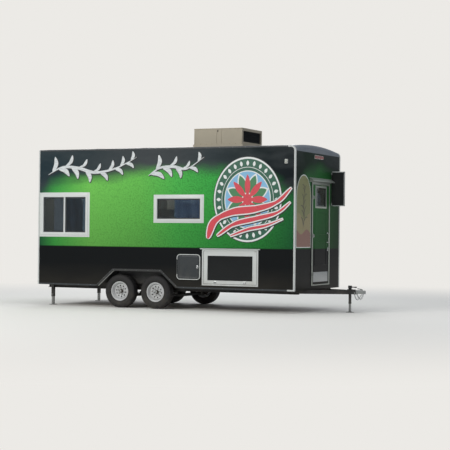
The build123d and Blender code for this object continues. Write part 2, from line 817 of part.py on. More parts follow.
leaf_low_z = entry_sill_z + sill_height + moving_gap
leaf_high_z = door_top - moving_gap
bezel_wide = 40
bezel_proud = 8
handle_from_edge = 90
handle_z = 1540
handle_outside = (50, 190)
handle_inside = (34, 158)
handle_half = 9
door_glass_depth = 14
with BuildPart() as entry_door:
    with BuildSketch(Plane.YZ.offset(entry_leaf_x)):
        with Locations((door_mid, (leaf_low_z + leaf_high_z) / 2)):
            Rectangle(door_wide - 2 * moving_gap, leaf_high_z - leaf_low_z)
        glass_start, glass_end, glass_low, glass_high = entry_glass
        with Locations(((glass_start + glass_end) / 2, (glass_low + glass_high) / 2)):
            Rectangle(glass_end - glass_start, glass_high - glass_low, mode=Mode.SUBTRACT)
    extrude(amount=-leaf_thick_door)
    with BuildSketch(Plane.YZ.offset(entry_leaf_x)):
        with Locations(((glass_start + glass_end) / 2, (glass_low + glass_high) / 2)):
            Rectangle(glass_end - glass_start + 2 * bezel_wide, glass_high - glass_low + 2 * bezel_wide)
            Rectangle(glass_end - glass_start, glass_high - glass_low, mode=Mode.SUBTRACT)
    extrude(amount=bezel_proud)
    with BuildSketch(Plane.XZ.offset(handle_from_edge - door_end)):
        with Locations((entry_leaf_x, handle_z)):
            Rectangle(*handle_outside, align=(Align.MIN, Align.CENTER))
            Rectangle(*handle_inside, align=(Align.MIN, Align.CENTER), mode=Mode.SUBTRACT)
    extrude(amount=handle_half, both=True)
    add(leaf_hinges(entry_plane, entry_hinges))
save(entry_door.part, "entry_door")

with BuildPart() as entry_door_glass:
    with BuildSketch(Plane.YZ.offset(entry_leaf_x - door_glass_depth)):
        with Locations(((glass_start + glass_end) / 2, (glass_low + glass_high) / 2)):
            Rectangle(glass_end - glass_start, glass_high - glass_low)
    extrude(amount=-pane_thick)
save(entry_door_glass.part, "entry_door_glass")

# Board hinged beside the entry door: it stands out square and folds back on the wall.
board_axis_y = 776
board_low_z = 2220
board_high_z = 2960
board_reach = 285
board_thick = 25
bracket_thick = 3
board_plane = hinge_plane((front_x + bracket_thick + hinge_out, board_axis_y, 0), (1, 0, 0), (0, 0, 1))
board_hinge_inset = 70
board_hinge_low = board_low_z + board_hinge_inset
board_hinge_long = board_high_z - board_low_z - 2 * board_hinge_inset
bracket_shift = 14
bracket_wide = 56
bracket_inset = 20
board_root_x = front_x + bracket_thick + hinge_out + knuckle_radius + 2
with BuildPart() as board_bracket:
    with BuildSketch(Plane.YZ.offset(front_x)):
        with Locations((board_axis_y + bracket_shift, (board_low_z + board_high_z) / 2)):
            Rectangle(bracket_wide, board_high_z - board_low_z - 2 * bracket_inset)
    extrude(amount=bracket_thick)
    add(fixed_hinges(board_plane, (board_hinge_low,), board_hinge_long))
save(board_bracket.part, "board_bracket")

with BuildPart() as side_board:
    with BuildSketch(Plane.XY.offset(board_low_z)):
        with Locations((board_root_x, board_axis_y - 3 - board_thick / 2)):
            Rectangle(board_reach, board_thick, align=(Align.MIN, Align.CENTER))
    extrude(amount=board_high_z - board_low_z)
    with BuildSketch(Plane.XY.offset(board_hinge_low)):
        with Locations((board_plane.origin.X, board_axis_y)):
            Circle(knuckle_radius)
        with Locations((board_plane.origin.X, board_axis_y - 3)):
            Rectangle(knuckle_radius + long_strap_reach, strap_rise, align=(Align.MIN, Align.CENTER))
        with Locations((board_plane.origin.X, board_axis_y)):
            Circle(hinge_pin_radius + pin_gap, mode=Mode.SUBTRACT)
    extrude(amount=board_hinge_long)
save(side_board.part, "side_board")

# Storage hatches low in the right wall: a framed top-hinged door with a pane, and a
# round-cornered side door, in front of one boxed compartment.
hatch_proud = 12
hatch_leaf = 26
rail_rise = 24
rail_over = 40
drip_reach = 42
hatch_axis_z = hatch_door[3] - hatch_frame_wide
hatch_plane = hinge_plane(
    (0, -half_width - hatch_proud - hinge_out, hatch_axis_z), (0, -1, 0), (1, 0, 0)
)
hatch_hinge_inset = 50
hatch_hinge_long = hatch_door[1] - hatch_door[0] - 2 * hatch_frame_wide - 2 * hatch_hinge_inset
hatch_hinge_x = rear_x + (hatch_door[0] + hatch_door[1] - hatch_hinge_long) / 2
small_plane = hinge_plane(
    (rear_x + small_door[0] + small_frame_wide, -half_width - hatch_proud - hinge_out, 0),
    (0, -1, 0),
    (0, 0, 1),
)
small_hinge_inset = 110
small_hinge_low = small_door[2] + small_hinge_inset
small_hinge_long = small_door[3] - small_door[2] - 2 * small_hinge_inset
drip_fall = 10
drip_lip = 6
with BuildPart() as hatch_frames:
    with BuildSketch(Plane.XZ.offset(half_width)):
        span_sketch(hatch_door)
        with BuildSketch(mode=Mode.SUBTRACT):
            span_sketch(hatch_door, hatch_frame_wide)
    extrude(amount=hatch_proud)
    with BuildSketch(Plane.XZ.offset(half_width)):
        span_sketch(small_door, 0, small_door_radius)
        with BuildSketch(mode=Mode.SUBTRACT):
            span_sketch(small_door, small_frame_wide, small_door_radius - small_frame_wide)
    extrude(amount=hatch_proud)
    with BuildSketch(Plane.YZ.offset(rear_x + hatch_door[0] - rail_over)):
        with BuildLine():
            Polyline(
                (-half_width, hatch_door[3]),
                (-half_width, hatch_door[3] + rail_rise),
                (-half_width - drip_reach, hatch_door[3] + rail_rise - drip_fall),
                (-half_width - drip_reach, hatch_door[3] + rail_rise - drip_fall - drip_lip),
                (-half_width - hatch_proud, hatch_door[3]),
                close=True,
            )
        make_face()
    extrude(amount=hatch_door[1] - hatch_door[0] + 2 * rail_over)
    add(fixed_hinges(hatch_plane, (hatch_hinge_x,), hatch_hinge_long))
    add(fixed_hinges(small_plane, (small_hinge_low,), small_hinge_long))
save(hatch_frames.part, "hatch_frames")

hatch_pane = (4145, 5185, 627, 1157)
hatch_leaf_y = half_width + hatch_proud - leaf_sink
hatch_pane_depth = 10
with BuildPart() as hatch_door_leaf:
    with BuildSketch(Plane.XZ.offset(hatch_leaf_y)):
        span_sketch(hatch_door, hatch_frame_wide + moving_gap)
        with BuildSketch(mode=Mode.SUBTRACT):
            span_sketch(hatch_pane)
    extrude(amount=-hatch_leaf)
    add(leaf_hinges(hatch_plane, (hatch_hinge_x,), hatch_hinge_long, long_strap_reach))
save(hatch_door_leaf.part, "hatch_door")

with BuildPart() as hatch_pane_sheet:
    with BuildSketch(Plane.XZ.offset(hatch_leaf_y - hatch_pane_depth)):
        span_sketch(hatch_pane)
    extrude(amount=-pane_thick)
save(hatch_pane_sheet.part, "hatch_pane")

with BuildPart() as small_door_leaf:
    with BuildSketch(Plane.XZ.offset(hatch_leaf_y)):
        span_sketch(
            small_door,
            small_frame_wide + moving_gap,
            small_door_radius - small_frame_wide - moving_gap,
        )
    extrude(amount=-hatch_leaf)
    add(leaf_hinges(small_plane, (small_hinge_low,), small_hinge_long, long_strap_reach))
save(small_door_leaf.part, "small_door")

liner_span = (3425, 5325)
liner_depth = 520
liner_low_z = floor_z
liner_high_z = 1330
liner_plate = 12
liner_wall_x = (small_door[1] + hatch_door[0]) / 2
liner_length = liner_span[1] - liner_span[0]
liner_x = rear_x + (liner_span[0] + liner_span[1]) / 2
liner_y = -inner_y + liner_depth / 2
liner_mid_z = (liner_low_z + liner_high_z) / 2
liner_stand = liner_high_z - liner_low_z - 2 * liner_plate - 2 * seat_gap
liner_reach = liner_depth - liner_plate - seat_gap
with BuildPart() as hatch_liner:
    for plate_z in (liner_low_z + liner_plate / 2, liner_high_z - liner_plate / 2):
        with Locations((liner_x, liner_y, plate_z)):
            Box(liner_length, liner_depth, liner_plate)
    with Locations((liner_x, liner_y + (liner_depth - liner_plate) / 2, liner_mid_z)):
        Box(liner_length, liner_plate, liner_stand)
    for plate_x in (
        rear_x + liner_span[0] + liner_plate / 2,
        rear_x + liner_wall_x,
        rear_x + liner_span[1] - liner_plate / 2,
    ):
        with Locations((plate_x, -inner_y + liner_reach / 2, liner_mid_z)):
            Box(liner_plate, liner_reach, liner_stand)
save(hatch_liner.part, "hatch_liner")

# Service hatch in the left wall: it lifts up over a shelf that folds down.
service_low_z = service_opening[2]
service_high_z = service_opening[3]
service_leaf = 44
service_flange = 40
service_plane = hinge_plane(
    (0, half_width + hatch_proud + hinge_out, service_high_z), (0, 1, 0), (-1, 0, 0)
)
service_hinge_inset = 60
service_hinge_long = service_opening[1] - service_opening[0] - 2 * service_hinge_inset
service_hinge_x = -(rear_x + (service_opening[0] + service_opening[1] + service_hinge_long) / 2)
shelf_axis_drop = 20
shelf_rail_under = 10
shelf_axis_z = service_low_z - service_flange - shelf_axis_drop
shelf_plane = hinge_plane(
    (0, half_width + bracket_thick + hinge_out, shelf_axis_z), (0, 1, 0), (-1, 0, 0)
)
shelf_depth = 330
shelf_thick = 22
shelf_inset = 40
shelf_sink = 3
shelf_hang = 12
shelf_strap = (-4, 2)
with BuildPart() as service_frame:
    with BuildSketch(Plane.XZ.offset(-half_width)):
        span_sketch(service_opening, -service_flange)
        with BuildSketch(mode=Mode.SUBTRACT):
            span_sketch(service_opening)
    extrude(amount=-hatch_proud)
    add(fixed_hinges(service_plane, (service_hinge_x,), service_hinge_long))
    shelf_rail = (
        service_opening[0],
        service_opening[1],
        shelf_axis_z - shelf_rail_under,
        shelf_axis_z + shelf_axis_drop,
    )
    with BuildSketch(Plane.XZ.offset(-half_width)):
        span_sketch(shelf_rail)
    extrude(amount=-bracket_thick)
    add(fixed_hinges(shelf_plane, (service_hinge_x,), service_hinge_long))
save(service_frame.part, "service_frame")

with BuildPart() as service_hatch:
    with BuildSketch(Plane.XZ.offset(-half_width - hatch_proud + leaf_sink)):
        span_sketch(service_opening, moving_gap)
    extrude(amount=service_leaf)
    add(leaf_hinges(service_plane, (service_hinge_x,), service_hinge_long, long_strap_reach))
save(service_hatch.part, "service_hatch")

with BuildPart() as service_shelf:
    shelf_front_y = half_width + bracket_thick + hinge_out
    with BuildSketch(Plane.YZ.offset(rear_x + service_opening[0] + shelf_inset)):
        with Locations((shelf_front_y - shelf_sink, shelf_axis_z - shelf_hang)):
            Rectangle(shelf_thick, shelf_depth, align=(Align.MIN, Align.MAX))
    extrude(amount=service_opening[1] - service_opening[0] - 2 * shelf_inset)
    with BuildSketch(shelf_plane.offset(service_hinge_x)):
        Circle(knuckle_radius)
        with Locations(shelf_strap):
            Rectangle(strap_rise, long_strap_reach, align=(Align.MIN, Align.MIN))
        Circle(hinge_pin_radius + pin_gap, mode=Mode.SUBTRACT)
    extrude(amount=service_hinge_long)
save(service_shelf.part, "service_shelf")

# Rooftop unit: a sheet-metal case on a low curb, with its coil in the forward end.
unit_start = 3430
unit_end = 4560
unit_half = 520
unit_height = 452
unit_top_z = eave_z + unit_height
curb_base = 40
coil_inset = 60
coil_low = 90
curb_grow = 18
curb_high = 40
crown_radius = (inner_y ** 2 + roof_crown ** 2) / (2 * roof_crown)
crown_top_z = eave_z + roof_crown
with BuildPart() as roof_unit:
    with BuildSketch(Plane.YZ.offset(rear_x + unit_start)):
        with Locations((0, eave_z + curb_base)):
            Rectangle(2 * unit_half, unit_height - curb_base, align=(Align.CENTER, Align.MIN))
    extrude(amount=unit_end - unit_start)
    with BuildSketch(Plane.YZ.offset(rear_x + unit_start - curb_grow)):
        with Locations((0, eave_z + curb_base)):
            Rectangle(
                2 * (unit_half + curb_grow),
                roof_crown - curb_base + curb_high,
                align=(Align.CENTER, Align.MIN),
            )
    extrude(amount=unit_end - unit_start + 2 * curb_grow)
    with BuildSketch(Plane.YZ.offset(rear_x + unit_start - 2 * curb_grow)):
        with Locations((0, crown_top_z - crown_radius)):
            Circle(crown_radius + seat_gap)
    extrude(amount=unit_end - unit_start + 4 * curb_grow, mode=Mode.SUBTRACT)
    with BuildSketch(Plane.YZ.offset(rear_x + unit_end)):
        with Locations((0, (crown_top_z + coil_low + unit_top_z - coil_inset) / 2)):
            Rectangle(2 * (unit_half - coil_inset), unit_top_z - coil_inset - crown_top_z - coil_low)
    extrude(amount=-coil_inset, mode=Mode.SUBTRACT)
save(roof_unit.part, "roof_unit")

coil_thick = 36
with BuildPart() as unit_coil:
    with BuildSketch(Plane.YZ.offset(rear_x + unit_end - coil_inset)):
        with Locations((0, (crown_top_z + coil_low + unit_top_z - coil_inset) / 2)):
            Rectangle(2 * (unit_half - coil_inset), unit_top_z - coil_inset - crown_top_z - coil_low)
    extrude(amount=coil_thick)
save(unit_coil.part, "unit_coil")

# Lamps: a bar of three over the door, side markers, rear corner lamps and round tail lamps.
lamp_bar = (480, 76, 3225)
bar_thick = 22
marker_size = (70, 90)
marker_from_front = 199
marker_z = 3080
marker_corner = 20
tail_radius = 55
tail_inset = 215
tail_z = 760
rear_lamp = (100, 40, 3180)
rear_lamp_pitch = 220
with BuildPart() as lamps:
    with BuildSketch(Plane.YZ.offset(front_x)):
        with Locations((0, lamp_bar[2])):
            Rectangle(lamp_bar[0], lamp_bar[1])
    extrude(amount=bar_thick)
    for side in (-1, 1):
        with BuildSketch(Plane.XZ.offset(-side * half_width)):
            with Locations((front_x - marker_from_front, marker_z)):
                RectangleRounded(marker_size[0], marker_size[1], marker_corner)
        extrude(amount=-side * bar_thick)
        with BuildSketch(Plane.YZ.offset(rear_x)):
            with Locations((side * (half_width - tail_inset), tail_z)):
                Circle(tail_radius)
            with Locations(
                (side * (half_width - tail_inset), rear_lamp[2]),
                (side * rear_lamp_pitch, rear_lamp[2]),
            ):
                Rectangle(rear_lamp[0], rear_lamp[1])
        extrude(amount=-bar_thick)
    with BuildSketch(Plane.YZ.offset(rear_x)):
        with Locations((0, rear_lamp[2])):
            Rectangle(rear_lamp[0], rear_lamp[1])
    extrude(amount=-bar_thick)
save(lamps.part, "lamps")

# Inside: steel benches along both walls, a hood over the cooking line and a wall shelf.
bench_depth = 600
bench_height = 900
bench_high_z = floor_z + bench_height
bench_set_back = 30
bench_top = 40
bench_sheet = 14
bench_spans = ((-1, 1450, 3400), (1, 700, 5500))
with BuildPart() as benches:
    for side, start, end in bench_spans:
        length = end - start
        middle_x = rear_x + (start + end) / 2
        with Locations((middle_x, side * (inner_y - bench_depth / 2), bench_high_z - bench_top / 2)):
            Box(length, bench_depth, bench_top)
        with Locations((
            middle_x,
            side * (inner_y - bench_depth + bench_set_back),
            (floor_z + bench_high_z - bench_top) / 2,
        )):
            Box(length, bench_sheet, bench_high_z - bench_top - floor_z)
save(benches.part, "benches")

hood_span = (1500, 2780)
hood_box = (2120, 2560)
range_depth = 760
hood_rise = hood_box[1] - hood_box[0]
hood_lip = 0.36 * hood_rise
hood_pocket = 0.32 * hood_rise
hood_rim = 20
hood_top_depth = 0.55 * range_depth
with BuildPart() as range_hood:
    with BuildSketch(Plane.YZ.offset(rear_x + hood_span[0])):
        with BuildLine():
            Polyline(
                (-inner_y, hood_box[0]),
                (-inner_y, hood_box[1]),
                (-inner_y + hood_top_depth, hood_box[1]),
                (-inner_y + range_depth, hood_box[0] + hood_lip),
                (-inner_y + range_depth, hood_box[0]),
                close=True,
            )
        make_face()
    extrude(amount=hood_span[1] - hood_span[0])
    with BuildSketch(Plane.XY.offset(hood_box[0])):
        with Locations((rear_x + sum(hood_span) / 2, -inner_y + range_depth / 2)):
            Rectangle(hood_span[1] - hood_span[0] - 2 * hood_rim, range_depth - 2 * hood_rim)
    extrude(amount=hood_pocket, mode=Mode.SUBTRACT)
save(range_hood.part, "range_hood")

rack_span = (1250, 2950)
rack_z = 2150
rack_depth = 300
rack_thick = 24
rack_brace = 240
rack_drop = 148
rack_plate = 16
rack_bracket_share = 0.44
rack_length = rack_span[1] - rack_span[0]
rack_x = rear_x + (rack_span[0] + rack_span[1]) / 2
rack_under_z = rack_z - rack_thick / 2
with BuildPart() as wall_shelf:
    with Locations((rack_x, inner_y - rack_depth / 2, rack_z)):
        Box(rack_length, rack_depth, rack_thick)
    for share in (-rack_bracket_share, 0, rack_bracket_share):
        with BuildSketch(Plane.YZ.offset(rack_x + share * rack_length)):
            with BuildLine():
                Polyline(
                    (inner_y, rack_under_z),
                    (inner_y, rack_under_z - rack_drop),
                    (inner_y - rack_brace, rack_under_z),
                    close=True,
                )
            make_face()
        extrude(amount=rack_plate / 2, both=True)
save(wall_shelf.part, "wall_shelf")

# Wheels: tyre, pressed steel wheel, and a hub with its brake drum.
tread_half = 88
bulge_radius = 281
bead_wide = 22
crown_thick = 30
disc_thick = 7
rim_wall = 6
drum_radius = 141
drum_wall = 8
drum_gap = 7
drum_inner_y = drop_y + drop_thick + backing_thick + drum_gap
hub_radius = 44
hub_flange_radius = 84
cap_radius = 33
cap_tip = 62
wheel_places = (
    ("front_right", axle_xs[1], -1),
    ("front_left", axle_xs[1], 1),
    ("rear_right", axle_xs[0], -1),
    ("rear_left", axle_xs[0], 1),
)
rim_in = -rim_width / 2
rim_out = rim_width / 2
bead_radius = 190
disc_rise = 12
lip_step = 9
rim_slope = 12
drum_step = 14
for wheel_name, wheel_x, side in wheel_places:
    half_plane = Plane(
        origin=(wheel_x, side * wheel_y, axle_z), x_dir=(1, 0, 0), z_dir=(0, 0, side)
    )
    spin_axis = Axis((wheel_x, side * wheel_y, axle_z), (0, 1, 0))
    with BuildPart() as tyre:
        with BuildSketch(half_plane):
            with BuildLine():
                Polyline(
                    (bead_radius + seat_gap, rim_in + lip_step),
                    (bulge_radius, -tyre_width / 2),
                    (tyre_radius, -tread_half),
                    (tyre_radius, tread_half),
                    (bulge_radius, tyre_width / 2),
                    (bead_radius + seat_gap, rim_out - lip_step),
                    (bead_radius + seat_gap, rim_out - lip_step - bead_wide),
                    (tyre_radius - crown_thick, 0),
                    (bead_radius + seat_gap, rim_in + lip_step + bead_wide),
                    close=True,
                )
            make_face()
        revolve(axis=spin_axis)
    save(tyre.part, f"tyre_{wheel_name}")

    with BuildPart() as wheel:
        with BuildSketch(half_plane):
            with BuildLine():
                Polyline(
                    (rim_radius, rim_out),
                    (bead_radius, rim_out - lip_step),
                    (bead_radius, rim_in + lip_step),
                    (rim_radius, rim_in),
                    (bead_radius - rim_wall, rim_in + rim_slope),
                    (bead_radius - rim_wall, disc_rise),
                    (hub_flange_radius, seat_gap),
                    (hub_radius + seat_gap, seat_gap),
                    (hub_radius + seat_gap, disc_thick + seat_gap),
                    (bead_radius - rim_wall, disc_rise + disc_thick),
                    (bead_radius - rim_wall, rim_out - rim_slope),
                    close=True,
                )
            make_face()
        revolve(axis=spin_axis)
    save(wheel.part, f"wheel_{wheel_name}")

    with BuildPart() as hub:
        drum_in = drum_inner_y - wheel_y
        with BuildSketch(half_plane):
            with BuildLine():
                Polyline(
                    (0, cap_tip),
                    (cap_radius, cap_tip - 4),
                    (hub_radius, 2 * disc_thick),
                    (hub_radius, 0),
                    (hub_flange_radius, 0),
                    (drum_radius, -drum_step),
                    (drum_radius, drum_in),
                    (drum_radius - drum_wall, drum_in),
                    (drum_radius - drum_wall, -drum_step - drum_wall),
                    (spindle_radius + pin_gap, -drum_step - drum_wall),
                    (spindle_radius + pin_gap, spindle_reach + 4),
                    (0, spindle_reach + 4),
                    close=True,
                )
            make_face()
        revolve(axis=spin_axis)
    save(hub.part, f"hub_{wheel_name}")
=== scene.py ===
import math
from functools import partial

import bmesh
import bpy
import numpy as np
from mathutils import Matrix, Vector


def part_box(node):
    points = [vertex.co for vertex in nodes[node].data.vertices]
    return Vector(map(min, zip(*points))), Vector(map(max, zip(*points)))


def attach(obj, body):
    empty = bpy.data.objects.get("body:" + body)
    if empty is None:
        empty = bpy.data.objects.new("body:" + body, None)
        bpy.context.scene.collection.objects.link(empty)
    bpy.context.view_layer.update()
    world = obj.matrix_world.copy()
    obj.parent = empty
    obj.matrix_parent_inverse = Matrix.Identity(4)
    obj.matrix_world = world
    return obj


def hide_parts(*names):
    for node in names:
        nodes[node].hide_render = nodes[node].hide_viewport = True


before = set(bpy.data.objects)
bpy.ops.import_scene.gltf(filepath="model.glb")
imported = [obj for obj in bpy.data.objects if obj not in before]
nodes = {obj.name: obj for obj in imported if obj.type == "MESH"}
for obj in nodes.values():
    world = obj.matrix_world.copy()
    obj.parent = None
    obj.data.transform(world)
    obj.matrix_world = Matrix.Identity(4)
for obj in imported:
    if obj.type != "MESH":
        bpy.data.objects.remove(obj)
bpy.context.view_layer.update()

# Camera: level with a standing eye, well off the trailer's front right corner, with a long
# lens, so that the right side shows at full length and the front wall is foreshortened.
eye = Vector((12.555, -25.923, 1.622))
yaw, pitch, roll = 0.439, -0.006, 0.01
look = Vector((-math.sin(yaw) * math.cos(pitch), math.cos(yaw) * math.cos(pitch), -math.sin(pitch)))
level = Vector((math.cos(yaw), math.sin(yaw), 0))
above = level.cross(look)
across = math.cos(roll) * level + math.sin(roll) * above
upward = math.cos(roll) * above - math.sin(roll) * level
camera = bpy.data.objects.new("camera", bpy.data.cameras.new("camera"))
camera.data.lens = 105.7
camera.data.sensor_width = 36
camera.data.clip_end = 500
camera.matrix_world = Matrix((
    (across.x, upward.x, -look.x, eye.x),
    (across.y, upward.y, -look.y, eye.y),
    (across.z, upward.z, -look.z, eye.z),
    (0, 0, 0, 1),
))
bpy.context.scene.collection.objects.link(camera)
bpy.context.scene.camera = camera
bpy.context.scene.view_settings.view_transform = "Standard"


# Studio: a pale floor that runs out to a pale backdrop, under large soft lamps. The lamp on the
# right side's hand is the stronger one, and the front wall is left in its own shade.
def linear(colour):
    """An sRGB hex colour as linear red, green, blue and alpha."""
    values = [int(colour[i:i + 2], 16) / 255 for i in (1, 3, 5)]
    return [v / 12.92 if v <= 0.04045 else ((v + 0.055) / 1.055) ** 2.4 for v in values] + [1]


def wire(node, inputs):
    """Sets a node's inputs by name or place: a value or an sRGB hex colour is set, a socket is
    linked, a node stands for its first output in use, and a range is given as a pair."""
    for key, value in inputs.items():
        if key in ("From", "To"):
            wire(node, {key + " Min": value[0], key + " Max": value[1]})
            continue
        if isinstance(value, bpy.types.Node):
            value = next(socket for socket in value.outputs if socket.enabled)
        if isinstance(value, bpy.types.NodeSocket):
            node.id_data.links.new(value, node.inputs[key])
        else:
            node.inputs[key].default_value = linear(value) if isinstance(value, str) else value


def add_node(tree, kind, inputs=(), stops=(), **settings):
    """Adds a node with its settings, its inputs and, on a ramp, its stops of place and colour."""
    made = tree.nodes.new("ShaderNode" + kind)
    for key, value in settings.items():
        setattr(made, key, value)
    wire(made, dict(inputs))
    for place, (position, colour) in enumerate(stops):
        ramp = made.color_ramp.elements
        stop = ramp[place] if place < len(ramp) else ramp.new(position)
        stop.position = position
        stop.color = linear(colour) if isinstance(colour, str) else (colour, colour, colour, 1)
    return made


def fresh(name):
    """A material of that name, the function that adds its nodes, its shader, and the object's
    own coordinates."""
    made = bpy.data.materials.new(name)
    made.use_nodes = True
    add = partial(add_node, made.node_tree)
    return made, add, made.node_tree.nodes["Principled BSDF"], add("TexCoord").outputs["Object"]


def grid_quads(rows, columns):
    """Faces of a grid of points: a quad between each four neighbours."""
    ids = np.arange(rows * columns).reshape(rows, columns)
    return np.stack([ids[:-1, :-1], ids[1:, :-1], ids[1:, 1:], ids[:-1, 1:]], -1).reshape(-1, 4)


def show(name, mesh):
    """Makes an object of a mesh and links it to the scene."""
    made = bpy.data.objects.new(name, mesh)
    bpy.context.scene.collection.objects.link(made)
    return made


studio_floor, add, shader, place = fresh("studio_floor_paper")
gone = add("VectorMath", {0: place}, operation="LENGTH")
fade = add("MapRange", {"Value": gone, "From": (6.0, 15.0)}, interpolation_type="SMOOTHSTEP")
ray = add("LightPath")
mirrored = add(
    "Math", {0: ray.outputs["Is Camera Ray"], 1: ray.outputs["Is Glossy Ray"]}, operation="MAXIMUM"
)
through = add("Math", {0: mirrored, 1: ray.outputs["Is Transmission Ray"]}, operation="MAXIMUM")
share = add("Math", {0: fade, 1: through}, operation="MULTIPLY")
backdrop = add("Emission", {"Color": "#eceae6", "Strength": 1.0})
paper = add("MixShader", {0: share, 1: shader, 2: backdrop})
wire(shader, {"Base Color": "#efeeea", "Roughness": 0.9, "Specular IOR Level": 0.2})
wire(studio_floor.node_tree.nodes["Material Output"], {"Surface": paper})
floor_reach, floor_lines = 60, 13
rows = np.linspace(-floor_reach, floor_reach, floor_lines)
floor_points = np.stack(np.meshgrid(rows, rows, [0.0], indexing="ij"), -1).reshape(-1, 3)
floor_mesh = bpy.data.meshes.new("studio_floor")
floor_mesh.from_pydata(floor_points.tolist(), [], grid_quads(floor_lines, floor_lines).tolist())
floor_mesh.materials.append(studio_floor)
show("studio_floor", floor_mesh)

world = bpy.data.worlds.new("studio_air")
world.use_nodes = True
bpy.context.scene.world = world
air = world.node_tree
wire(air.nodes["Background"], {"Color": "#e9edf2", "Strength": 0.42})
seen = add_node(air, "Background", {"Color": "#eceae6", "Strength": 1.0})
ray = add_node(air, "LightPath")
shown = add_node(air, "MixShader", {0: ray.outputs["Is Camera Ray"], 1: air.nodes["Background"], 2: seen})
wire(air.nodes["World Output"], {"Surface": shown})

lamp_places = (
    ("lamp_side", (-7.0, -17.0, 10.0), (0.0, -1.0, 1.6), 9.0, 1650, "#fffdf8"),
    ("lamp_front", (15.0, -5.0, 7.0), (2.5, 0.0, 1.6), 6.0, 260, "#f4f7ff"),
    ("lamp_above", (0.0, 0.0, 14.0), (0.0, 0.0, 0.0), 10.0, 650, "#ffffff"),
    ("lamp_behind", (-8.0, 15.0, 8.0), (0.0, 1.0, 1.5), 8.0, 700, "#f6f8ff"),
)
for name, place, aim, size, power, tint in lamp_places:
    source = show(name, bpy.data.lights.new(name, "AREA"))
    source.data.shape = "DISK"
    source.data.size = size
    source.data.energy = power
    source.data.color = linear(tint)[:3]
    source.location = place
    source.rotation_euler = (Vector(aim) - Vector(place)).to_track_quat("-Z", "Y").to_euler()


# Chassis: welded channel and box steel, brushed with black chassis enamel. Years outdoors have
# dulled it, and road dust lies on it, most of it low down.
def loft(rings, ends=True, loop=False):
    """Points and faces of a skin over closed outlines: quads join each outline to the next, the
    first and last are filled when ends is true, and joined to each other when loop is true."""
    rings = np.asarray(rings, float)
    count, around = rings.shape[:2]
    ids = np.arange(count * around).reshape(count, around)
    low = ids if loop else ids[:-1]
    high = np.roll(ids, -1, 0) if loop else ids[1:]
    quads = np.stack([low, np.roll(low, -1, 1), np.roll(high, -1, 1), high], -1).reshape(-1, 4)
    faces = quads.tolist()
    if ends and not loop:
        faces += [ids[0][::-1].tolist(), ids[-1].tolist()]
    return rings.reshape(-1, 3), faces


def piece(name, parts, material, body="trailer", angle=35, shut=True):
    """Makes one object of several skins, smooth up to an angle, and puts it on its body."""
    points, faces, start = [], [], 0
    for part_points, part_faces in parts:
        points.append(part_points)
        faces += [[i + start for i in face] for face in part_faces]
        start += len(part_points)
    mesh = bpy.data.meshes.new(name)
    mesh.from_pydata(np.concatenate(points).tolist(), [], faces)
    if shut:
        solid = bmesh.new()
        solid.from_mesh(mesh)
        bmesh.ops.remove_doubles(solid, verts=solid.verts, dist=1e-6)
        bmesh.ops.recalc_face_normals(solid, faces=solid.faces)
        solid.to_mesh(mesh)
        solid.free()
    mesh.shade_smooth()
    mesh.set_sharp_from_angle(angle=math.radians(angle))
    mesh.materials.append(material)
    made = show(name, mesh)
    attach(made, body)
    return made


def circle(steps, closed=False):
    """Cosines and sines of the angles round a circle, the first repeated at the end if closed."""
    turn = np.linspace(0, 2 * math.pi, steps, endpoint=closed)
    return np.cos(turn), np.sin(turn)


def turned(profile, centre, axis, steps=48):
    """A turned piece: each (radius, distance) pair of a profile is swept round an axis."""
    profile = np.asarray(profile, float)
    axis = Vector(axis).normalized()
    side = axis.orthogonal().normalized()
    third = axis.cross(side)
    cosines, sines = circle(steps)
    spokes = cosines[:, None] * np.array(side) + sines[:, None] * np.array(third)
    rings = profile[:, 0, None, None] * spokes + profile[:, 1, None, None] * np.array(axis)
    return loft(rings + np.array(centre))


def outline(half_x, half_y, corner, steps=4):
    """A rounded rectangle's outline: a quarter turn of its corner radius at each corner."""
    quarter = np.linspace(0, math.pi / 2, steps + 1)
    turn = np.concatenate([quarter + k * math.pi / 2 for k in range(4)])
    sign_x = np.repeat([1, -1, -1, 1], steps + 1)
    sign_y = np.repeat([1, 1, -1, -1], steps + 1)
    return np.stack([
        sign_x * (half_x - corner) + corner * np.cos(turn),
        sign_y * (half_y - corner) + corner * np.sin(turn),
    ], -1)


def stacked(levels, half_x, half_y, corner, centre=(0, 0), steps=8, follow=1.0, least=0.0, loop=False):
    """A pressed or moulded plate: rounded outlines stacked in height. Each level gives how far
    its outline is drawn in and its height, and the corner radius shrinks by a share of that."""
    rings = []
    for drawn_in, height in levels:
        radius = max(corner - drawn_in * follow, least)
        flat = outline(half_x - drawn_in, half_y - drawn_in, radius, steps) + centre
        rings.append(np.column_stack([flat, np.full(len(flat), height)]))
    return loft(rings, loop=loop)


def block(low, high, edge=0.002, corner=None, steps=3):
    """A bar or plate with rounded edges: outlines stacked in height, drawn in towards both ends
    by a quarter turn of the edge radius."""
    low, high = np.array(low, float), np.array(high, float)
    half = (high - low) / 2
    edge = min(edge, *(half * 0.98))
    corner = edge if corner is None else corner
    bend = np.linspace(0, math.pi / 2, steps + 1)
    inset = np.concatenate([edge * (1 - np.sin(bend)), edge * (1 - np.sin(bend[::-1]))])
    rise = edge * (1 - np.cos(bend))
    height = np.concatenate([rise - half[2], half[2] - rise[::-1]])
    points, faces = stacked(zip(inset, height), half[0], half[1], corner, steps=steps, least=1e-5)
    return points + (low + high) / 2, faces


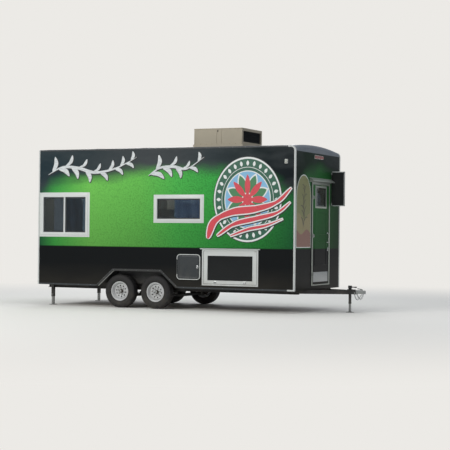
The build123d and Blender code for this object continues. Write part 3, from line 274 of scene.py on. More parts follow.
def paint(name, colour, roughness=0.5, metal=0.0, dust="#7b7264", dust_high=0.4, grain=0.003,
          bump=0.15, coat=0.0, wear=0.1, more=()):
    """A painted or bare metal finish: slow colour drift, dust low down, and a fine relief whose
    grain is the size in metres of its orange peel, brush marks or cast skin."""
    made, add, shader, place = fresh(name)
    cloud = add("TexNoise", {"Vector": place, "Scale": 3.0, "Detail": 6.0, "Roughness": 0.6})
    fine = add("TexNoise", {"Vector": place, "Scale": 1 / grain, "Detail": 3.0})
    shade = add("MapRange", {"Value": cloud, "From": (0.3, 0.7), "To": (1 - wear, 1 + wear)})
    tinted = add("VectorMath", {0: linear(colour)[:3], "Scale": shade}, operation="SCALE")
    height = add("SeparateXYZ", {"Vector": place}).outputs["Z"]
    low = add("MapRange", {"Value": height, "From": (0.0, dust_high), "To": (0.62, 0.04)})
    patch = add("MapRange", {"Value": cloud, "From": (0.35, 0.75)})
    laid = add("Math", {0: low, 1: patch}, operation="MULTIPLY")
    mixed = add("Mix", {0: laid, 6: tinted, 7: dust}, data_type="RGBA")
    smoothest, dullest = max(roughness - 0.1, 0.05), min(roughness + 0.12, 1)
    rough = add("MapRange", {"Value": fine, "To": (smoothest, dullest)})
    relief = add("Bump", {"Height": fine, "Strength": bump, "Distance": grain * 0.2})
    wire(
        shader,
        {"Base Color": mixed, "Roughness": rough, "Normal": relief, "Metallic": metal, "Coat Weight": coat},
    )
    wire(shader, dict(more))
    return made


def dress(material, *names):
    """Gives CAD nodes a finish through their material slots."""
    for name in names:
        slots = nodes[name].data.materials
        for place in range(len(slots)):
            slots[place] = material
        if not slots:
            slots.append(material)


chassis_enamel = paint("brushed_black_chassis_enamel", "#1b1d1f", 0.48, dust_high=0.75, grain=0.006)
spring_steel = paint("oiled_black_spring_steel", "#26272a", 0.42, metal=0.5, dust_high=0.7, grain=0.004)
zinc_plate = paint(
    "dull_zinc_plated_steel", "#9a9d9c", 0.38, metal=0.85, dust_high=0.5, wear=0.12, grain=0.004
)
dress(chassis_enamel, "main_rails", "cross_tubes", "tongue_frame", "axles", "wheel_boxes", "stabilizer_tubes")
dress(spring_steel, "leaf_springs", "equalizers")
dress(zinc_plate, "stabilizer_leg_right", "stabilizer_leg_left", "jack_leg")

# Axle and spring hardware: two U-bolts over a clamp plate hold each axle to its spring pack, and
# a bolt with a hex head and nut goes through each spring eye, shackle and hanger. Zinc plated.
wheel_centres = {}
for corner in ("front_right", "front_left", "rear_right", "rear_left"):
    low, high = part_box("tyre_" + corner)
    wheel_centres[corner] = (low + high) / 2


def hexagon(centre, axis, across_flats, thick):
    """A hex head or nut: a six-sided outline, chamfered at its outer end."""
    radius = across_flats / math.sqrt(3)
    profile = [(radius * 0.98, 0), (radius, thick * 0.1), (radius, thick * 0.75), (radius * 0.86, thick)]
    return turned(profile, centre, axis, steps=6)


def tube(path, radius, steps=10):
    """A round bar bent along a path: a circle square to the path's direction at each point."""
    path = np.asarray(path, float)
    ahead = np.gradient(path, axis=0)
    ahead /= np.linalg.norm(ahead, axis=1)[:, None]
    aside = np.cross(ahead, np.array([0.31, 0.17, 0.93]))
    aside /= np.linalg.norm(aside, axis=1)[:, None]
    third = np.cross(ahead, aside)
    cosines, sines = circle(steps)
    spokes = cosines[:, None] * aside[:, None] + sines[:, None] * third[:, None]
    return loft(path[:, None] + radius * spokes)


rail_y = 0.93
axle_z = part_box("axles")[0].z + 0.035
eye_z, pivot_z, shackle_z = 0.332, 0.364, 0.358
arch_x = (wheel_centres["front_right"].x + wheel_centres["rear_right"].x) / 2
bend = np.linspace(0, math.pi, 17)
bolt_parts = []
for centre in wheel_centres.values():
    side = 1 if centre.y > 0 else -1
    pack_y = side * rail_y
    for x in (centre.x - 0.042, centre.x + 0.042):
        bow_y, bow_z = pack_y + 0.028 * np.cos(bend), axle_z - 0.008 - 0.034 * np.sin(bend)
        bow = np.stack([np.full(17, x), bow_y, bow_z], -1).tolist()
        ends = [[x, pack_y + reach, axle_z + 0.098] for reach in (0.028, -0.028)]
        bolt_parts.append(tube([ends[0], *bow, ends[1]], 0.0055))
        for y in (pack_y - 0.028, pack_y + 0.028):
            bolt_parts.append(hexagon((x, y, axle_z + 0.083), (0, 0, 1), 0.019, 0.011))
    clamp_low = (centre.x - 0.065, pack_y - 0.042, axle_z + 0.074)
    bolt_parts.append(block(clamp_low, (centre.x + 0.065, pack_y + 0.042, axle_z + 0.082)))
    for x in (centre.x - 0.337, centre.x + 0.337):
        for out in (-1, 1):
            bolt_parts.append(hexagon((x, pack_y + out * 0.0308, eye_z), (0, out, 0), 0.021, 0.01))
for pack_y in (-rail_y, rail_y):
    for out in (-1, 1):
        bolt_parts.append(hexagon((arch_x, pack_y + out * 0.029, pivot_z), (0, out, 0), 0.024, 0.012))
        for x in (arch_x - 0.05, arch_x + 0.05):
            bolt_parts.append(hexagon((x, pack_y + out * 0.0308, shackle_z), (0, out, 0), 0.021, 0.01))
piece("axle_bolts", bolt_parts, zinc_plate)

# Tyres: radial trailer tyres, black rubber gone grey with dust. Each tread has four
# circumferential grooves with zigzag walls and lateral sipes, and the sidewalls carry moulded
# ribs, a rim guard and short radial flutes at the shoulder.
tread_rubber, add, shader, place = fresh("moulded_tyre_rubber")
# Dull black, with dust in patches about 11 cm wide and a moulded skin of 2.4 mm grain.
cloud = add("TexNoise", {"Vector": place, "Scale": 9.0, "Detail": 7.0, "Roughness": 0.65})
fine = add("TexNoise", {"Vector": place, "Scale": 420.0, "Detail": 2.0})
height = add("SeparateXYZ", {"Vector": place}).outputs["Z"]
low = add("MapRange", {"Value": height, "From": (0.0, 0.5), "To": (0.55, 0.12)})
patch = add("MapRange", {"Value": cloud, "From": (0.35, 0.72)})
laid = add("Math", {0: low, 1: patch}, operation="MULTIPLY")
mixed = add("Mix", {0: laid, 6: "#17171a", 7: "#5d564b"}, data_type="RGBA")
rough = add("MapRange", {"Value": cloud, "To": (0.62, 0.86)})
relief = add("Bump", {"Height": fine, "Strength": 0.25, "Distance": 0.0006})
wire(shader, {"Base Color": mixed, "Roughness": rough, "Normal": relief})

sidewall = np.array([
    (0.1906, 0.056), (0.1906, 0.0795), (0.196, 0.083), (0.2075, 0.085), (0.211, 0.0905),
    (0.2165, 0.0925), (0.22, 0.0965), (0.2235, 0.0975), (0.226, 0.101), (0.24, 0.1065),
    (0.256, 0.1105), (0.27, 0.1122), (0.2725, 0.1125), (0.2755, 0.1125), (0.278, 0.1122),
    (0.29, 0.1115), (0.304, 0.108), (0.316, 0.103), (0.322, 0.1005), (0.329, 0.0975),
    (0.3365, 0.093), (0.343, 0.088), (0.348, 0.082), (0.3508, 0.077),
])
inner_wall = np.array([
    (0.33, -0.07), (0.334, -0.03), (0.334, 0.03), (0.33, 0.07), (0.312, 0.088),
    (0.27, 0.1), (0.225, 0.085),
])
tread_half = 0.0765
tread_line = np.linspace(tread_half, -tread_half, 58)
tread_profile = np.stack([0.3545 - 0.0028 * (tread_line / tread_half) ** 2, tread_line], -1)
tyre_profile = np.concatenate([sidewall, tread_profile, sidewall[::-1] * (1, -1), inner_wall])
tyre_radii, tyre_offsets = tyre_profile.T
turn_steps, blocks_round = 300, 75
turn = np.linspace(0, 2 * math.pi, turn_steps, endpoint=False)


def tread_depth(angle, across_tread):
    """How deep the tread is cut: four zigzag grooves round the tyre and sipes across the ribs
    between them, each a smooth-edged band in the two directions."""
    zigzag = 0.0016 * np.sin(angle * 60)
    depth = np.zeros(np.broadcast(angle, across_tread).shape)
    for groove in (-0.045, -0.0155, 0.0155, 0.045):
        gap = np.abs(across_tread - groove - zigzag)
        depth = np.maximum(depth, 0.0085 * np.clip((0.0046 - gap) / 0.0012, 0, 1))
    lean = np.where(across_tread > 0, 1, -1) * across_tread * 5.0
    sipe = np.abs(((angle * blocks_round / math.pi / 2 + lean) % 1) - 0.5)
    cut = np.where(np.abs(across_tread) < 0.074, 0.0045 * np.clip((0.13 - sipe) / 0.08, 0, 1), 0)
    return np.maximum(depth, cut)


tread_start = len(sidewall)
tread_end = tread_start + len(tread_profile)
shoulder = (tyre_radii > 0.33) & (tyre_radii < 0.3475) & (np.abs(tyre_offsets) > 0.08)
flute = np.clip((0.22 - np.abs(((turn * blocks_round / math.pi / 2) % 1) - 0.5)) / 0.06, 0, 1) * 0.0024
radius = np.repeat(tyre_radii[:, None], turn_steps, 1)
offset = np.repeat(tyre_offsets[:, None], turn_steps, 1)
radius[tread_start:tread_end] -= tread_depth(turn[None, :], offset[tread_start:tread_end])
radius[shoulder] -= flute
for corner, centre in wheel_centres.items():
    side = 1 if centre.y > 0 else -1
    rings = np.stack(
        [centre.x + radius * np.cos(turn), centre.y + side * offset, centre.z + radius * np.sin(turn)], -1
    )
    made = piece("tyre_rubber_" + corner, [loft(rings, loop=True)], tread_rubber, "wheel_" + corner, angle=42)
    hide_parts("tyre_" + corner)

# Wheels: pressed and welded steel, powder coated white, with ten round holes in the disc, a
# drop-centre rim with rolled lips, six zinc lug nuts and a pressed dust cap over the bearing.
wheel_white = paint(
    "powder_coated_white_wheel_steel", "#c9cbcd", 0.4, dust="#7a6f60", bump=0.08, coat=0.15, wear=0.05,
    dust_high=0.9,
)
brake_iron = paint("rusted_brake_drum_iron", "#3d302a", 0.8, metal=0.2, dust_high=0.6, wear=0.4, grain=0.004)
dress(brake_iron, *("hub_" + corner for corner in wheel_centres))
sheet = 0.007
rim_profile = np.array([
    (0.204, 0.089), (0.2066, 0.0884), (0.207, 0.0868), (0.2058, 0.085), (0.196, 0.0838),
    (0.1906, 0.0822), (0.19, 0.08), (0.1892, 0.052), (0.188, 0.049), (0.17, 0.038),
    (0.169, 0.035), (0.169, -0.04), (0.17, -0.043), (0.188, -0.056), (0.1892, -0.058),
    (0.19, -0.08), (0.1906, -0.0822), (0.196, -0.0838), (0.2058, -0.085), (0.207, -0.0868),
    (0.2066, -0.0884), (0.204, -0.089), (0.199, -0.087), (0.189, -0.0855), (0.1868, -0.083),
    (0.1862, -0.06), (0.185, -0.0585), (0.167, -0.0455), (0.166, -0.043), (0.166, 0.037),
    (0.167, 0.0395), (0.185, 0.0505), (0.1862, 0.0525), (0.1868, 0.083), (0.189, 0.0855),
    (0.199, 0.087),
])
flange_profile = np.array([
    (0.0445, 0.008), (0.045, 0.0088), (0.078, 0.0088), (0.082, 0.0095), (0.086, 0.0125),
    (0.09, 0.017),
])
brim_profile = np.array([
    (0.142, 0.0335), (0.15, 0.0325), (0.156, 0.029), (0.16, 0.024), (0.1625, 0.0185),
    (0.1662, 0.018),
])


def disc_height(radius):
    """The wheel disc's face: it rises from the flange to a round crown outside the holes."""
    share = np.clip((radius - 0.09) / 0.052, 0, 1)
    return 0.017 + 0.0165 * np.sin(share * math.pi / 2) ** 0.9


def spun(points, angle):
    """Points turned by an angle about their own third axis."""
    across, up = points[..., 0], points[..., 1]
    cosine, sine = math.cos(angle), math.sin(angle)
    return np.stack([across * cosine - up * sine, across * sine + up * cosine, points[..., 2]], -1)


def pierced_ring(holes, hole_ring, hole_radius, inside, outside, rows=5, samples=40):
    """A ring with round holes: in each equal sector, lines run from the sector's outline to the
    circle of its hole, then back through the plate, and the face's height follows its radius."""
    sector = math.pi / holes
    quarter = samples // 4
    angles = np.concatenate([
        np.linspace(-sector, sector, quarter, endpoint=False), np.full(quarter, sector),
        np.linspace(sector, -sector, quarter, endpoint=False), np.full(quarter, -sector),
    ])
    radii = np.concatenate([
        np.full(quarter, outside), np.linspace(outside, inside, quarter, endpoint=False),
        np.full(quarter, inside), np.linspace(inside, outside, quarter, endpoint=False),
    ])
    rim = np.stack([radii * np.cos(angles), radii * np.sin(angles)], -1)
    from_hole = rim - (hole_ring, 0)
    hole = (hole_ring, 0) + hole_radius * from_hole / np.linalg.norm(from_hole, axis=1)[:, None]
    shares = np.linspace(0, 1, rows + 1)[:, None, None]
    flat = rim * (1 - shares) + hole * shares
    height = disc_height(np.linalg.norm(flat, axis=2))
    lip = 1 - 0.0012 * (shares[:, :, 0] > 0.99)
    face = np.concatenate([flat, (height * lip)[:, :, None]], -1)
    well = np.concatenate([flat[-1:], (height[-1:] - sheet)[:, :, None]], -1)
    back = face[::-1] - (0, 0, sheet)
    rings = np.concatenate([face, well, back[1:]])
    return [loft(spun(rings, 2 * math.pi * k / holes + sector), ends=False) for k in range(holes)]


def swept(profile):
    """A closed profile of radius and height pairs swept round the wheel's own axis."""
    cosines, sines = circle(100)
    radii, heights = profile[:, 0, None], profile[:, 1, None]
    return loft(np.stack([radii * cosines, radii * sines, np.repeat(heights, 100, 1)], -1), loop=True)


nut = [(0.0112, 0), (0.0118, 0.002), (0.0118, 0.013), (0.01, 0.018), (0.006, 0.0225), (0.0012, 0.024)]
cap = [
    (0.043, 0.006), (0.0435, 0.02), (0.04, 0.024), (0.0345, 0.026), (0.034, 0.05), (0.0325, 0.056),
    (0.027, 0.06), (0.014, 0.0616), (0.0015, 0.0619),
]
shell = [
    swept(rim_profile),
    swept(np.concatenate([flange_profile, flange_profile[::-1] - (0, sheet)])),
    swept(np.concatenate([brim_profile, brim_profile[::-1] - (0, sheet)])),
    *pierced_ring(10, 0.116, 0.0172, 0.09, 0.142),
]
tilts = {"front_right": 0.2, "front_left": 0.6, "rear_right": 0.75, "rear_left": 1.1}
for corner, centre in wheel_centres.items():
    side = 1 if centre.y > 0 else -1
    tilt = tilts[corner]
    axis = (0, side, 0)
    shell_parts = []
    for points, faces in shell:
        across, up, out = spun(points, tilt).T
        shell_parts.append((np.stack([centre.x + across, centre.y + side * out, centre.z + up], -1), faces))
    made = piece("wheel_steel_" + corner, shell_parts, wheel_white, "wheel_" + corner, angle=40)
    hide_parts("wheel_" + corner)
    studs = []
    for k in range(6):
        angle = tilt + k * math.pi / 3
        foot = (
            centre.x + 0.0698 * math.cos(angle), centre.y + side * 0.0085, centre.z + 0.0698 * math.sin(angle)
        )
        studs.append(turned(nut, foot, axis, steps=6))
        studs.append(turned([(0.015, 0), (0.015, 0.0015), (0.0125, 0.003)], foot, axis, steps=20))
    studs.append(turned(cap, centre, axis))
    stem_x, stem_z = math.cos(tilt + 0.5), math.sin(tilt + 0.5)
    stem = ((0.183, 0.046), (0.178, 0.06), (0.174, 0.074))
    stem_path = [(centre.x + r * stem_x, centre.y + side * y, centre.z + r * stem_z) for r, y in stem]
    studs.append(tube(stem_path, 0.0038, 12))
    piece("lug_nuts_" + corner, studs, zinc_plate, "wheel_" + corner, angle=30)

# Walls: insulated panels skinned with aluminium sheet and covered with a printed vinyl wrap. The
# print runs from smoky charcoal at the eaves through a bright green glow, mottled with dark
# specks, to a black band at the skirt. Inside, the walls are lined with white pebbled panel.
wall_low, wall_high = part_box("right_wall")
rear_x, front_x = wall_low.x, wall_high.x
side_y, inner_y = -wall_low.y, -wall_high.y
skirt_z, eave_z = wall_low.z, wall_high.z
band_z = 1.31
edge_lowest, edge_highest = 2.0, 3.6


def printed_wrap(name, axis, start, end, outside, edge_stops, green_stops, dark_stops,
                 speck=1.0, near_by=0.0015, gloss=0.08):
    """A vinyl wrap printed along one axis. Where the dark top ends, its greens and its darks are
    each a ramp along the wall; cloud noise bends the edge, and specks of 2 to 3 cm darken the
    green. Faces that aren't within near_by of the outside place are the wall's inner lining,
    with 6 mm pebbles."""
    made, add, shader, place = fresh(name)
    split = add("SeparateXYZ", {"Vector": place})
    height = split.outputs["Z"]
    along = add("MapRange", {"Value": split.outputs[axis], "From": (start, end)})
    edge = add("ValToRGB", {"Fac": along}, edge_stops)
    greens = add("ValToRGB", {"Fac": along}, green_stops)
    darks = add("ValToRGB", {"Fac": along}, dark_stops)
    wide = add("Mapping", {"Vector": place, "Scale": (0.55, 0.55, 1.5)})
    cloud = add("TexNoise", {"Vector": wide, "Scale": 1.7, "Detail": 5.0, "Roughness": 0.55})
    edge_z = add("MapRange", {"Value": edge, "To": (edge_lowest, edge_highest)})
    rise = add("Math", {0: height, 1: edge_z}, operation="SUBTRACT")
    drift = add("Math", {0: cloud, 1: 0.42, 2: rise}, operation="MULTIPLY_ADD")
    dark_share = add("MapRange", {"Value": drift, "From": (0.02, 0.42)}, interpolation_type="SMOOTHSTEP")
    glow = add("MapRange", {"Value": rise, "From": (-1.5, -0.15), "To": (0.72, 1.12)})
    lit = add("VectorMath", {0: greens, "Scale": glow}, operation="SCALE")
    coarse = add("TexVoronoi", {"Vector": place, "Scale": 36.0, "Randomness": 1.0}, feature="SMOOTH_F1")
    grit = add("TexNoise", {"Vector": place, "Scale": 48.0, "Detail": 4.0, "Roughness": 0.6})
    flecks = add("Math", {0: coarse, 1: grit}, operation="MULTIPLY")
    fleck_share = add("MapRange", {"Value": flecks, "From": (0.15, 0.34), "To": (0.0, 0.4 * speck)})
    far = add("MapRange", {"Value": along, "From": (0.05, 0.9), "To": (0.35, 1.0)})
    fleck = add("Math", {0: fleck_share, 1: far}, operation="MULTIPLY")
    shade_green = add("Mix", {0: fleck, 6: lit, 7: "#123a1d"}, data_type="RGBA")
    smoke = add("MapRange", {"Value": cloud, "From": (0.44, 0.66), "To": (0.0, 0.35)})
    smoky = add("Mix", {0: smoke, 6: darks, 7: "#4c5153"}, data_type="RGBA")
    fade = add("Mix", {0: dark_share, 6: shade_green, 7: smoky}, data_type="RGBA")
    band = add("MapRange", {"Value": height, "From": (band_z - 0.012, band_z + 0.012)})
    printed = add("Mix", {0: band, 6: "#101315", 7: fade}, data_type="RGBA")
    dirt = add("MapRange", {"Value": height, "From": (skirt_z, 0.95), "To": (0.22, 0.0)})
    dirty = add("Math", {0: dirt, 1: cloud}, operation="MULTIPLY")
    film = add("Mix", {0: dirty, 6: printed, 7: "#6d6558"}, data_type="RGBA")
    face_axis, face_place = outside
    reach = split.outputs[face_axis]
    if face_axis == "Y":
        reach = add("Math", {0: reach}, operation="ABSOLUTE")
    near = add("Math", {0: reach, 1: face_place, 2: near_by}, operation="COMPARE")
    liner = add("TexVoronoi", {"Vector": place, "Scale": 160.0})
    skin = add("Mix", {0: near, 6: "#c9cac6", 7: film}, data_type="RGBA")
    rough = add("MapRange", {"Value": grit, "To": (0.3, 0.44)})
    buckle = add("TexNoise", {"Vector": wide, "Scale": 2.6, "Detail": 1.0})
    pebble = add("Math", {0: 1.0, 1: near}, operation="SUBTRACT")
    pebbled = add("Math", {0: liner, 1: pebble}, operation="MULTIPLY")
    grainy = add("Bump", {"Height": pebbled, "Strength": 0.5, "Distance": 0.001})
    relief = add("Bump", {"Height": buckle, "Strength": 0.1, "Distance": 0.02, "Normal": grainy})
    wire(shader, {"Base Color": skin, "Roughness": rough, "Normal": relief})
    wire(shader, {"Specular IOR Level": gloss, "Coat Weight": 0.03, "Coat Roughness": 0.1})
    return made


def edge_heights(*pairs):
    """Ramp stops of the dark edge's height: metres above the ground as a share of its range."""
    return [(position, (height - edge_lowest) / (edge_highest - edge_lowest)) for position, height in pairs]


side_print = (
    edge_heights(
        (0.0, 2.45), (0.05, 2.66), (0.3, 2.78), (0.42, 2.92), (0.66, 2.94), (0.8, 2.9), (0.92, 2.7),
        (1.0, 2.42),
    ),
    [
        (0.0, "#1d4a34"), (0.07, "#3f9a44"), (0.22, "#6cb853"), (0.42, "#63b450"), (0.56, "#4aac4c"),
        (0.72, "#369c43"), (0.88, "#2c853b"), (1.0, "#1d5a33"),
    ],
    [
        (0.0, "#223138"), (0.15, "#2a363b"), (0.42, "#3f4447"), (0.56, "#3c4144"), (0.68, "#2f383c"),
        (0.85, "#142023"), (1.0, "#071117"),
    ],
)
front_print = (
    edge_heights((0.0, 2.5), (0.25, 2.85), (0.55, 3.0), (1.0, 2.8)),
    [(0.0, "#27502e"), (0.18, "#2f6236"), (0.45, "#2a6332"), (0.75, "#235229"), (1.0, "#16351e")],
    [(0.0, "#0d1a15"), (0.4, "#0f271a"), (0.7, "#0e1d19"), (1.0, "#080f10")],
)
rear_print = (
    edge_heights((0.0, 2.55), (0.3, 2.85), (0.7, 2.85), (1.0, 2.55)),
    [(0.0, "#1f5a34"), (0.2, "#3f9a44"), (0.5, "#62bb50"), (0.8, "#3f9a44"), (1.0, "#1f5a34")],
    [(0.0, "#1c3038"), (0.5, "#33393f"), (1.0, "#1c3038")],
)
lengthwise, forwards = ("X", rear_x, front_x), ("X", front_x, rear_x)
crosswise = ("Y", -side_y, side_y)
wrap_right = printed_wrap("printed_vinyl_wrap_right", *lengthwise, ("Y", side_y), *side_print)
wrap_left = printed_wrap("printed_vinyl_wrap_left", *forwards, ("Y", side_y), *side_print)
wrap_hatch = printed_wrap(
    "printed_vinyl_wrap_hatch", *forwards, ("Y", side_y + 0.02), *side_print, near_by=0.014
)
wrap_front = printed_wrap(
    "printed_vinyl_wrap_front", *crosswise, ("X", front_x), *front_print, speck=0.8, gloss=0.04
)
wrap_door = printed_wrap(
    "printed_vinyl_wrap_door", *crosswise, ("X", front_x + 0.02), *front_print, speck=0.8, near_by=0.014,
    gloss=0.04,
)
wrap_rear = printed_wrap("printed_vinyl_wrap_rear", *crosswise, ("X", rear_x), *rear_print)
dress(wrap_right, "right_wall")
dress(wrap_left, "left_wall")
dress(wrap_front, "front_wall")
dress(wrap_rear, "rear_wall")

# Wrap graphics: cut vinyl laid over the print. Long silver-white brush sweeps with a black drop
# shadow run under the eave, and a round dark green badge with a plain star rosette and crossing
# red bands stands ahead of the middle window. They are ornament only.
def cut_vinyl(name, colour, roughness=0.32, streak=0.0, second="#8d9296", speck=0.0):
    """Cut vinyl film: an even colour, with printed brush streaks 8 mm wide and 10 cm long, or
    specks of 2 cm, where asked."""
    made, add, shader, place = fresh(name)
    drawn = add("Mapping", {"Vector": place, "Rotation": (0, 0.25, 0), "Scale": (5.0, 1.0, 60.0)})
    hairs = add("TexNoise", {"Vector": drawn, "Scale": 2.0, "Detail": 6.0, "Roughness": 0.7})
    dots = add("TexNoise", {"Vector": place, "Scale": 45.0, "Detail": 4.0})
    share = add("MapRange", {"Value": hairs, "From": (0.46, 0.62), "To": (0.0, streak)})
    dotted = add("MapRange", {"Value": dots, "From": (0.52, 0.66), "To": (0.0, speck)})
    both = add("Math", {0: share, 1: dotted}, operation="MAXIMUM")
    mixed = add("Mix", {0: both, 6: colour, 7: second}, data_type="RGBA")
    rough = add("MapRange", {"Value": dots, "To": (roughness - 0.05, roughness + 0.1)})
    wire(shader, {"Base Color": mixed, "Roughness": rough, "Coat Weight": 0.1})
    return made


def sweep_line(points, steps=160):
    """A smooth line through a few points, by cubic Hermite spans whose slopes are those between
    each point's neighbours."""
    points = np.asarray(points, float)
    slopes = np.gradient(points, axis=0)
    spots = np.linspace(0, len(points) - 1, steps)
    k = np.minimum(spots.astype(int), len(points) - 2)
    t = (spots - k)[:, None]
    return (
        (2 * t ** 3 - 3 * t ** 2 + 1) * points[k] + (t ** 3 - 2 * t ** 2 + t) * slopes[k]
        + (3 * t ** 2 - 2 * t ** 3) * points[k + 1] + (t ** 3 - t ** 2) * slopes[k + 1]
    )


def brush_sweep(points, width, grow=0.0, shift=(0, 0)):
    """A brush sweep in the wall's plane: a line widened to both sides, drawn in to a point at
    both ends, and thinner where it runs along the slope of a broad-nibbed pen."""
    line = sweep_line(points) + shift
    ahead = np.gradient(line, axis=0)
    ahead /= np.linalg.norm(ahead, axis=1)[:, None]
    normal = np.stack([-ahead[:, 1], ahead[:, 0]], -1)
    share = np.linspace(0, 1, len(line))
    swell = np.clip(np.sin(math.pi * share ** 0.72), 0, 1) ** 0.6
    nib = 0.42 + 0.58 * np.abs(ahead @ (-0.45, 0.89)) ** 0.8
    half = (width / 2 * swell * nib + grow)[:, None]
    return np.stack([line + normal * half * place for place in (1, 0.33, -0.33, -1)], 1)


def body_x(distance):
    """A place along the body, from its distance ahead of the rear wall's face."""
    return rear_x + distance


badge = np.array([body_x(5.045), 2.31])
stretch = np.array([1.02, 1.17])


def round_band(outside, inside=0.0):
    """A flat ring round the badge's middle, between two radii."""
    radii = np.linspace(inside, outside, 3)
    cosines, sines = circle(97, closed=True)
    return np.stack([badge[0] + radii * cosines[:, None], badge[1] + radii * sines[:, None]], -1)


def petals(count, start, end, width, turn=0.0):
    """Pointed petals along equal spokes from the badge's middle: each one's half width is a sine
    of the way along it."""
    share = np.linspace(0, 1, 25)
    reach = start + (end - start) * share
    half = width / 2 * np.sin(math.pi * share) ** 0.8
    shapes = []
    for k in range(count):
        angle = 2 * math.pi * k / count + turn
        spoke = np.array([math.cos(angle), math.sin(angle)])
        normal = np.array([-spoke[1], spoke[0]])
        line = badge + reach[:, None] * spoke
        shapes.append(np.stack([line + side * half[:, None] * normal for side in (1, 0, -1)], 1))
    return shapes


walls = {
    "right": (((1, 0, 0), (0, 0, 1), (0, -1, 0)), (0, -side_y, 0)),
    "left": (((1, 0, 0), (0, 0, 1), (0, 1, 0)), (0, side_y, 0)),
    "front": (((0, 1, 0), (0, 0, 1), (1, 0, 0)), (front_x, 0, 0)),
    "rear": (((0, 1, 0), (0, 0, 1), (-1, 0, 0)), (rear_x, 0, 0)),
}


def on_wall(points, wall):
    """Places given as across, up and out of a wall, set on that wall of the body."""
    axes, origin = walls[wall]
    return np.asarray(points, float) @ np.array(axes, float) + origin


def flat_on(shapes, depth, wall):
    """Grids of across and up places laid on a wall, each a hair above the one before and facing
    outwards. On the left wall they run the other way."""
    outward = walls[wall][0][2]
    parts = []
    for layer, grid in enumerate(shapes):
        across = rear_x + front_x - grid[..., 0] if wall == "left" else grid[..., 0]
        out = np.full(across.shape, depth + layer * 0.00002)
        points = on_wall(np.stack([across, grid[..., 1], out], -1).reshape(-1, 3), wall)
        quads = grid_quads(*across.shape)
        a, b, c = points[quads[len(quads) // 2, :3]]
        if np.cross(b - a, c - b) @ outward < 0:
            quads = quads[:, ::-1]
        parts.append((points, quads.tolist()))
    return parts


silver_film = cut_vinyl("brushed_silver_white_vinyl", "#d5dadc", 0.34, streak=0.55)
shadow_film = cut_vinyl("matt_black_vinyl", "#0e1113", 0.42)
badge_green = cut_vinyl("dark_green_vinyl", "#1d5a44", speck=0.3, second="#174a38")
badge_white = cut_vinyl("white_vinyl", "#dfe3e2", speck=0.15, second="#b9c0c0")
badge_red = cut_vinyl("red_vinyl", "#d2414e", speck=0.35, second="#a92f3b")
badge_blue = cut_vinyl("pale_blue_vinyl", "#7fb4d8", speck=0.2, second="#5f97c2")
badge_leaf = cut_vinyl("leaf_green_vinyl", "#3f7f52", speck=0.4, second="#2c6343")


def spray(points, width, leaves, length, first=1):
    """A leafy spray as lines and widths: the stem, then pointed leaves along it to both sides in
    turn, each leaning ahead along the stem and bending outwards, smaller towards the tip."""
    stem = sweep_line(points)
    strokes = [(points, width)]
    for k in range(leaves):
        share = 0.06 + 0.86 * k / max(leaves - 1, 1)
        spot = int(share * (len(stem) - 2))
        ahead = stem[spot + 1] - stem[spot]
        ahead /= np.linalg.norm(ahead)
        outward = np.array([-ahead[1], ahead[0]]) * first * (-1) ** k
        reach = length * (1 - 0.45 * share)
        middle_of_leaf = stem[spot] + reach * (0.46 * ahead + 0.34 * outward)
        tip = stem[spot] + reach * (0.62 * ahead + 0.8 * outward)
        strokes.append(([stem[spot], middle_of_leaf, tip], width * (1.45 - 0.5 * share)))
    return strokes


def from_rear(strokes):
    """Strokes given ahead of the rear wall's face, as places along the body."""
    return [([(body_x(x), z) for x, z in line], width) for line, width in strokes]


sweeps = from_rear([
    *spray(
        [(0.24, 2.86), (0.6, 3.02), (1.0, 3.0), (1.42, 2.9), (1.86, 2.96), (2.18, 3.08), (2.47, 3.22)],
        0.082, 13, 0.34,
    ),
    *spray([(2.74, 2.82), (3.02, 2.98), (3.34, 3.0), (3.66, 2.96), (4.06, 3.2)], 0.08, 8, 0.34, -1),
])
bands = from_rear([
    ([(4.15, 1.5), (4.3, 1.86), (4.7, 2.05), (5.24, 2.12), (5.7, 2.26), (6.02, 2.55)], 0.21),
    ([(4.36, 1.56), (4.74, 1.8), (5.24, 1.92), (5.7, 2.04), (6.0, 2.26)], 0.14),
    ([(4.66, 1.56), (5.06, 1.7), (5.46, 1.78), (5.84, 1.92)], 0.085),
])
badge_lines = [round_band(0.508), round_band(0.57, 0.56), *petals(28, 0.59, 0.685, 0.06)]
badge_layers = (
    ("badge_edge", [round_band(0.757)], 0.0015, shadow_film),
    ("badge_rim", [round_band(0.744)], 0.00165, badge_white),
    ("badge_field", [round_band(0.712)], 0.0018, badge_green),
    ("badge_lines", badge_lines, 0.00195, badge_white),
    ("badge_sky", [round_band(0.49)], 0.0023, badge_blue),
    ("badge_petals", petals(8, 0.09, 0.49, 0.2, math.pi / 8), 0.00245, badge_white),
    ("badge_leaves", petals(8, 0.12, 0.45, 0.155, math.pi / 8), 0.00265, badge_leaf),
    ("badge_spokes", [*petals(8, 0.05, 0.44, 0.12), round_band(0.1)], 0.00285, badge_red),
)
stroke_layers = (
    ("spray_shadows", sweeps, 0.011, (0.01, -0.012), 0.0003, shadow_film),
    ("sprays", sweeps, 0.0, (0, 0), 0.001, silver_film),
    ("band_shadows", bands, 0.04, (0.006, -0.008), 0.0032, shadow_film),
    ("band_edges", bands, 0.024, (0, 0), 0.0034, badge_white),
    ("bands", bands, 0.0, (0, 0), 0.0036, badge_red),
)
for wall in ("right", "left"):
    for name, shapes, depth, film in badge_layers:
        stretched = [(shape - badge) * stretch + badge for shape in shapes]
        piece(name + "_" + wall, flat_on(stretched, depth, wall), film, shut=False)
    for name, strokes, grow, shift, depth, film in stroke_layers:
        shapes = [brush_sweep(line, width, grow, shift) for line, width in strokes]
        piece(name + "_" + wall, flat_on(shapes, depth, wall), film, shut=False)

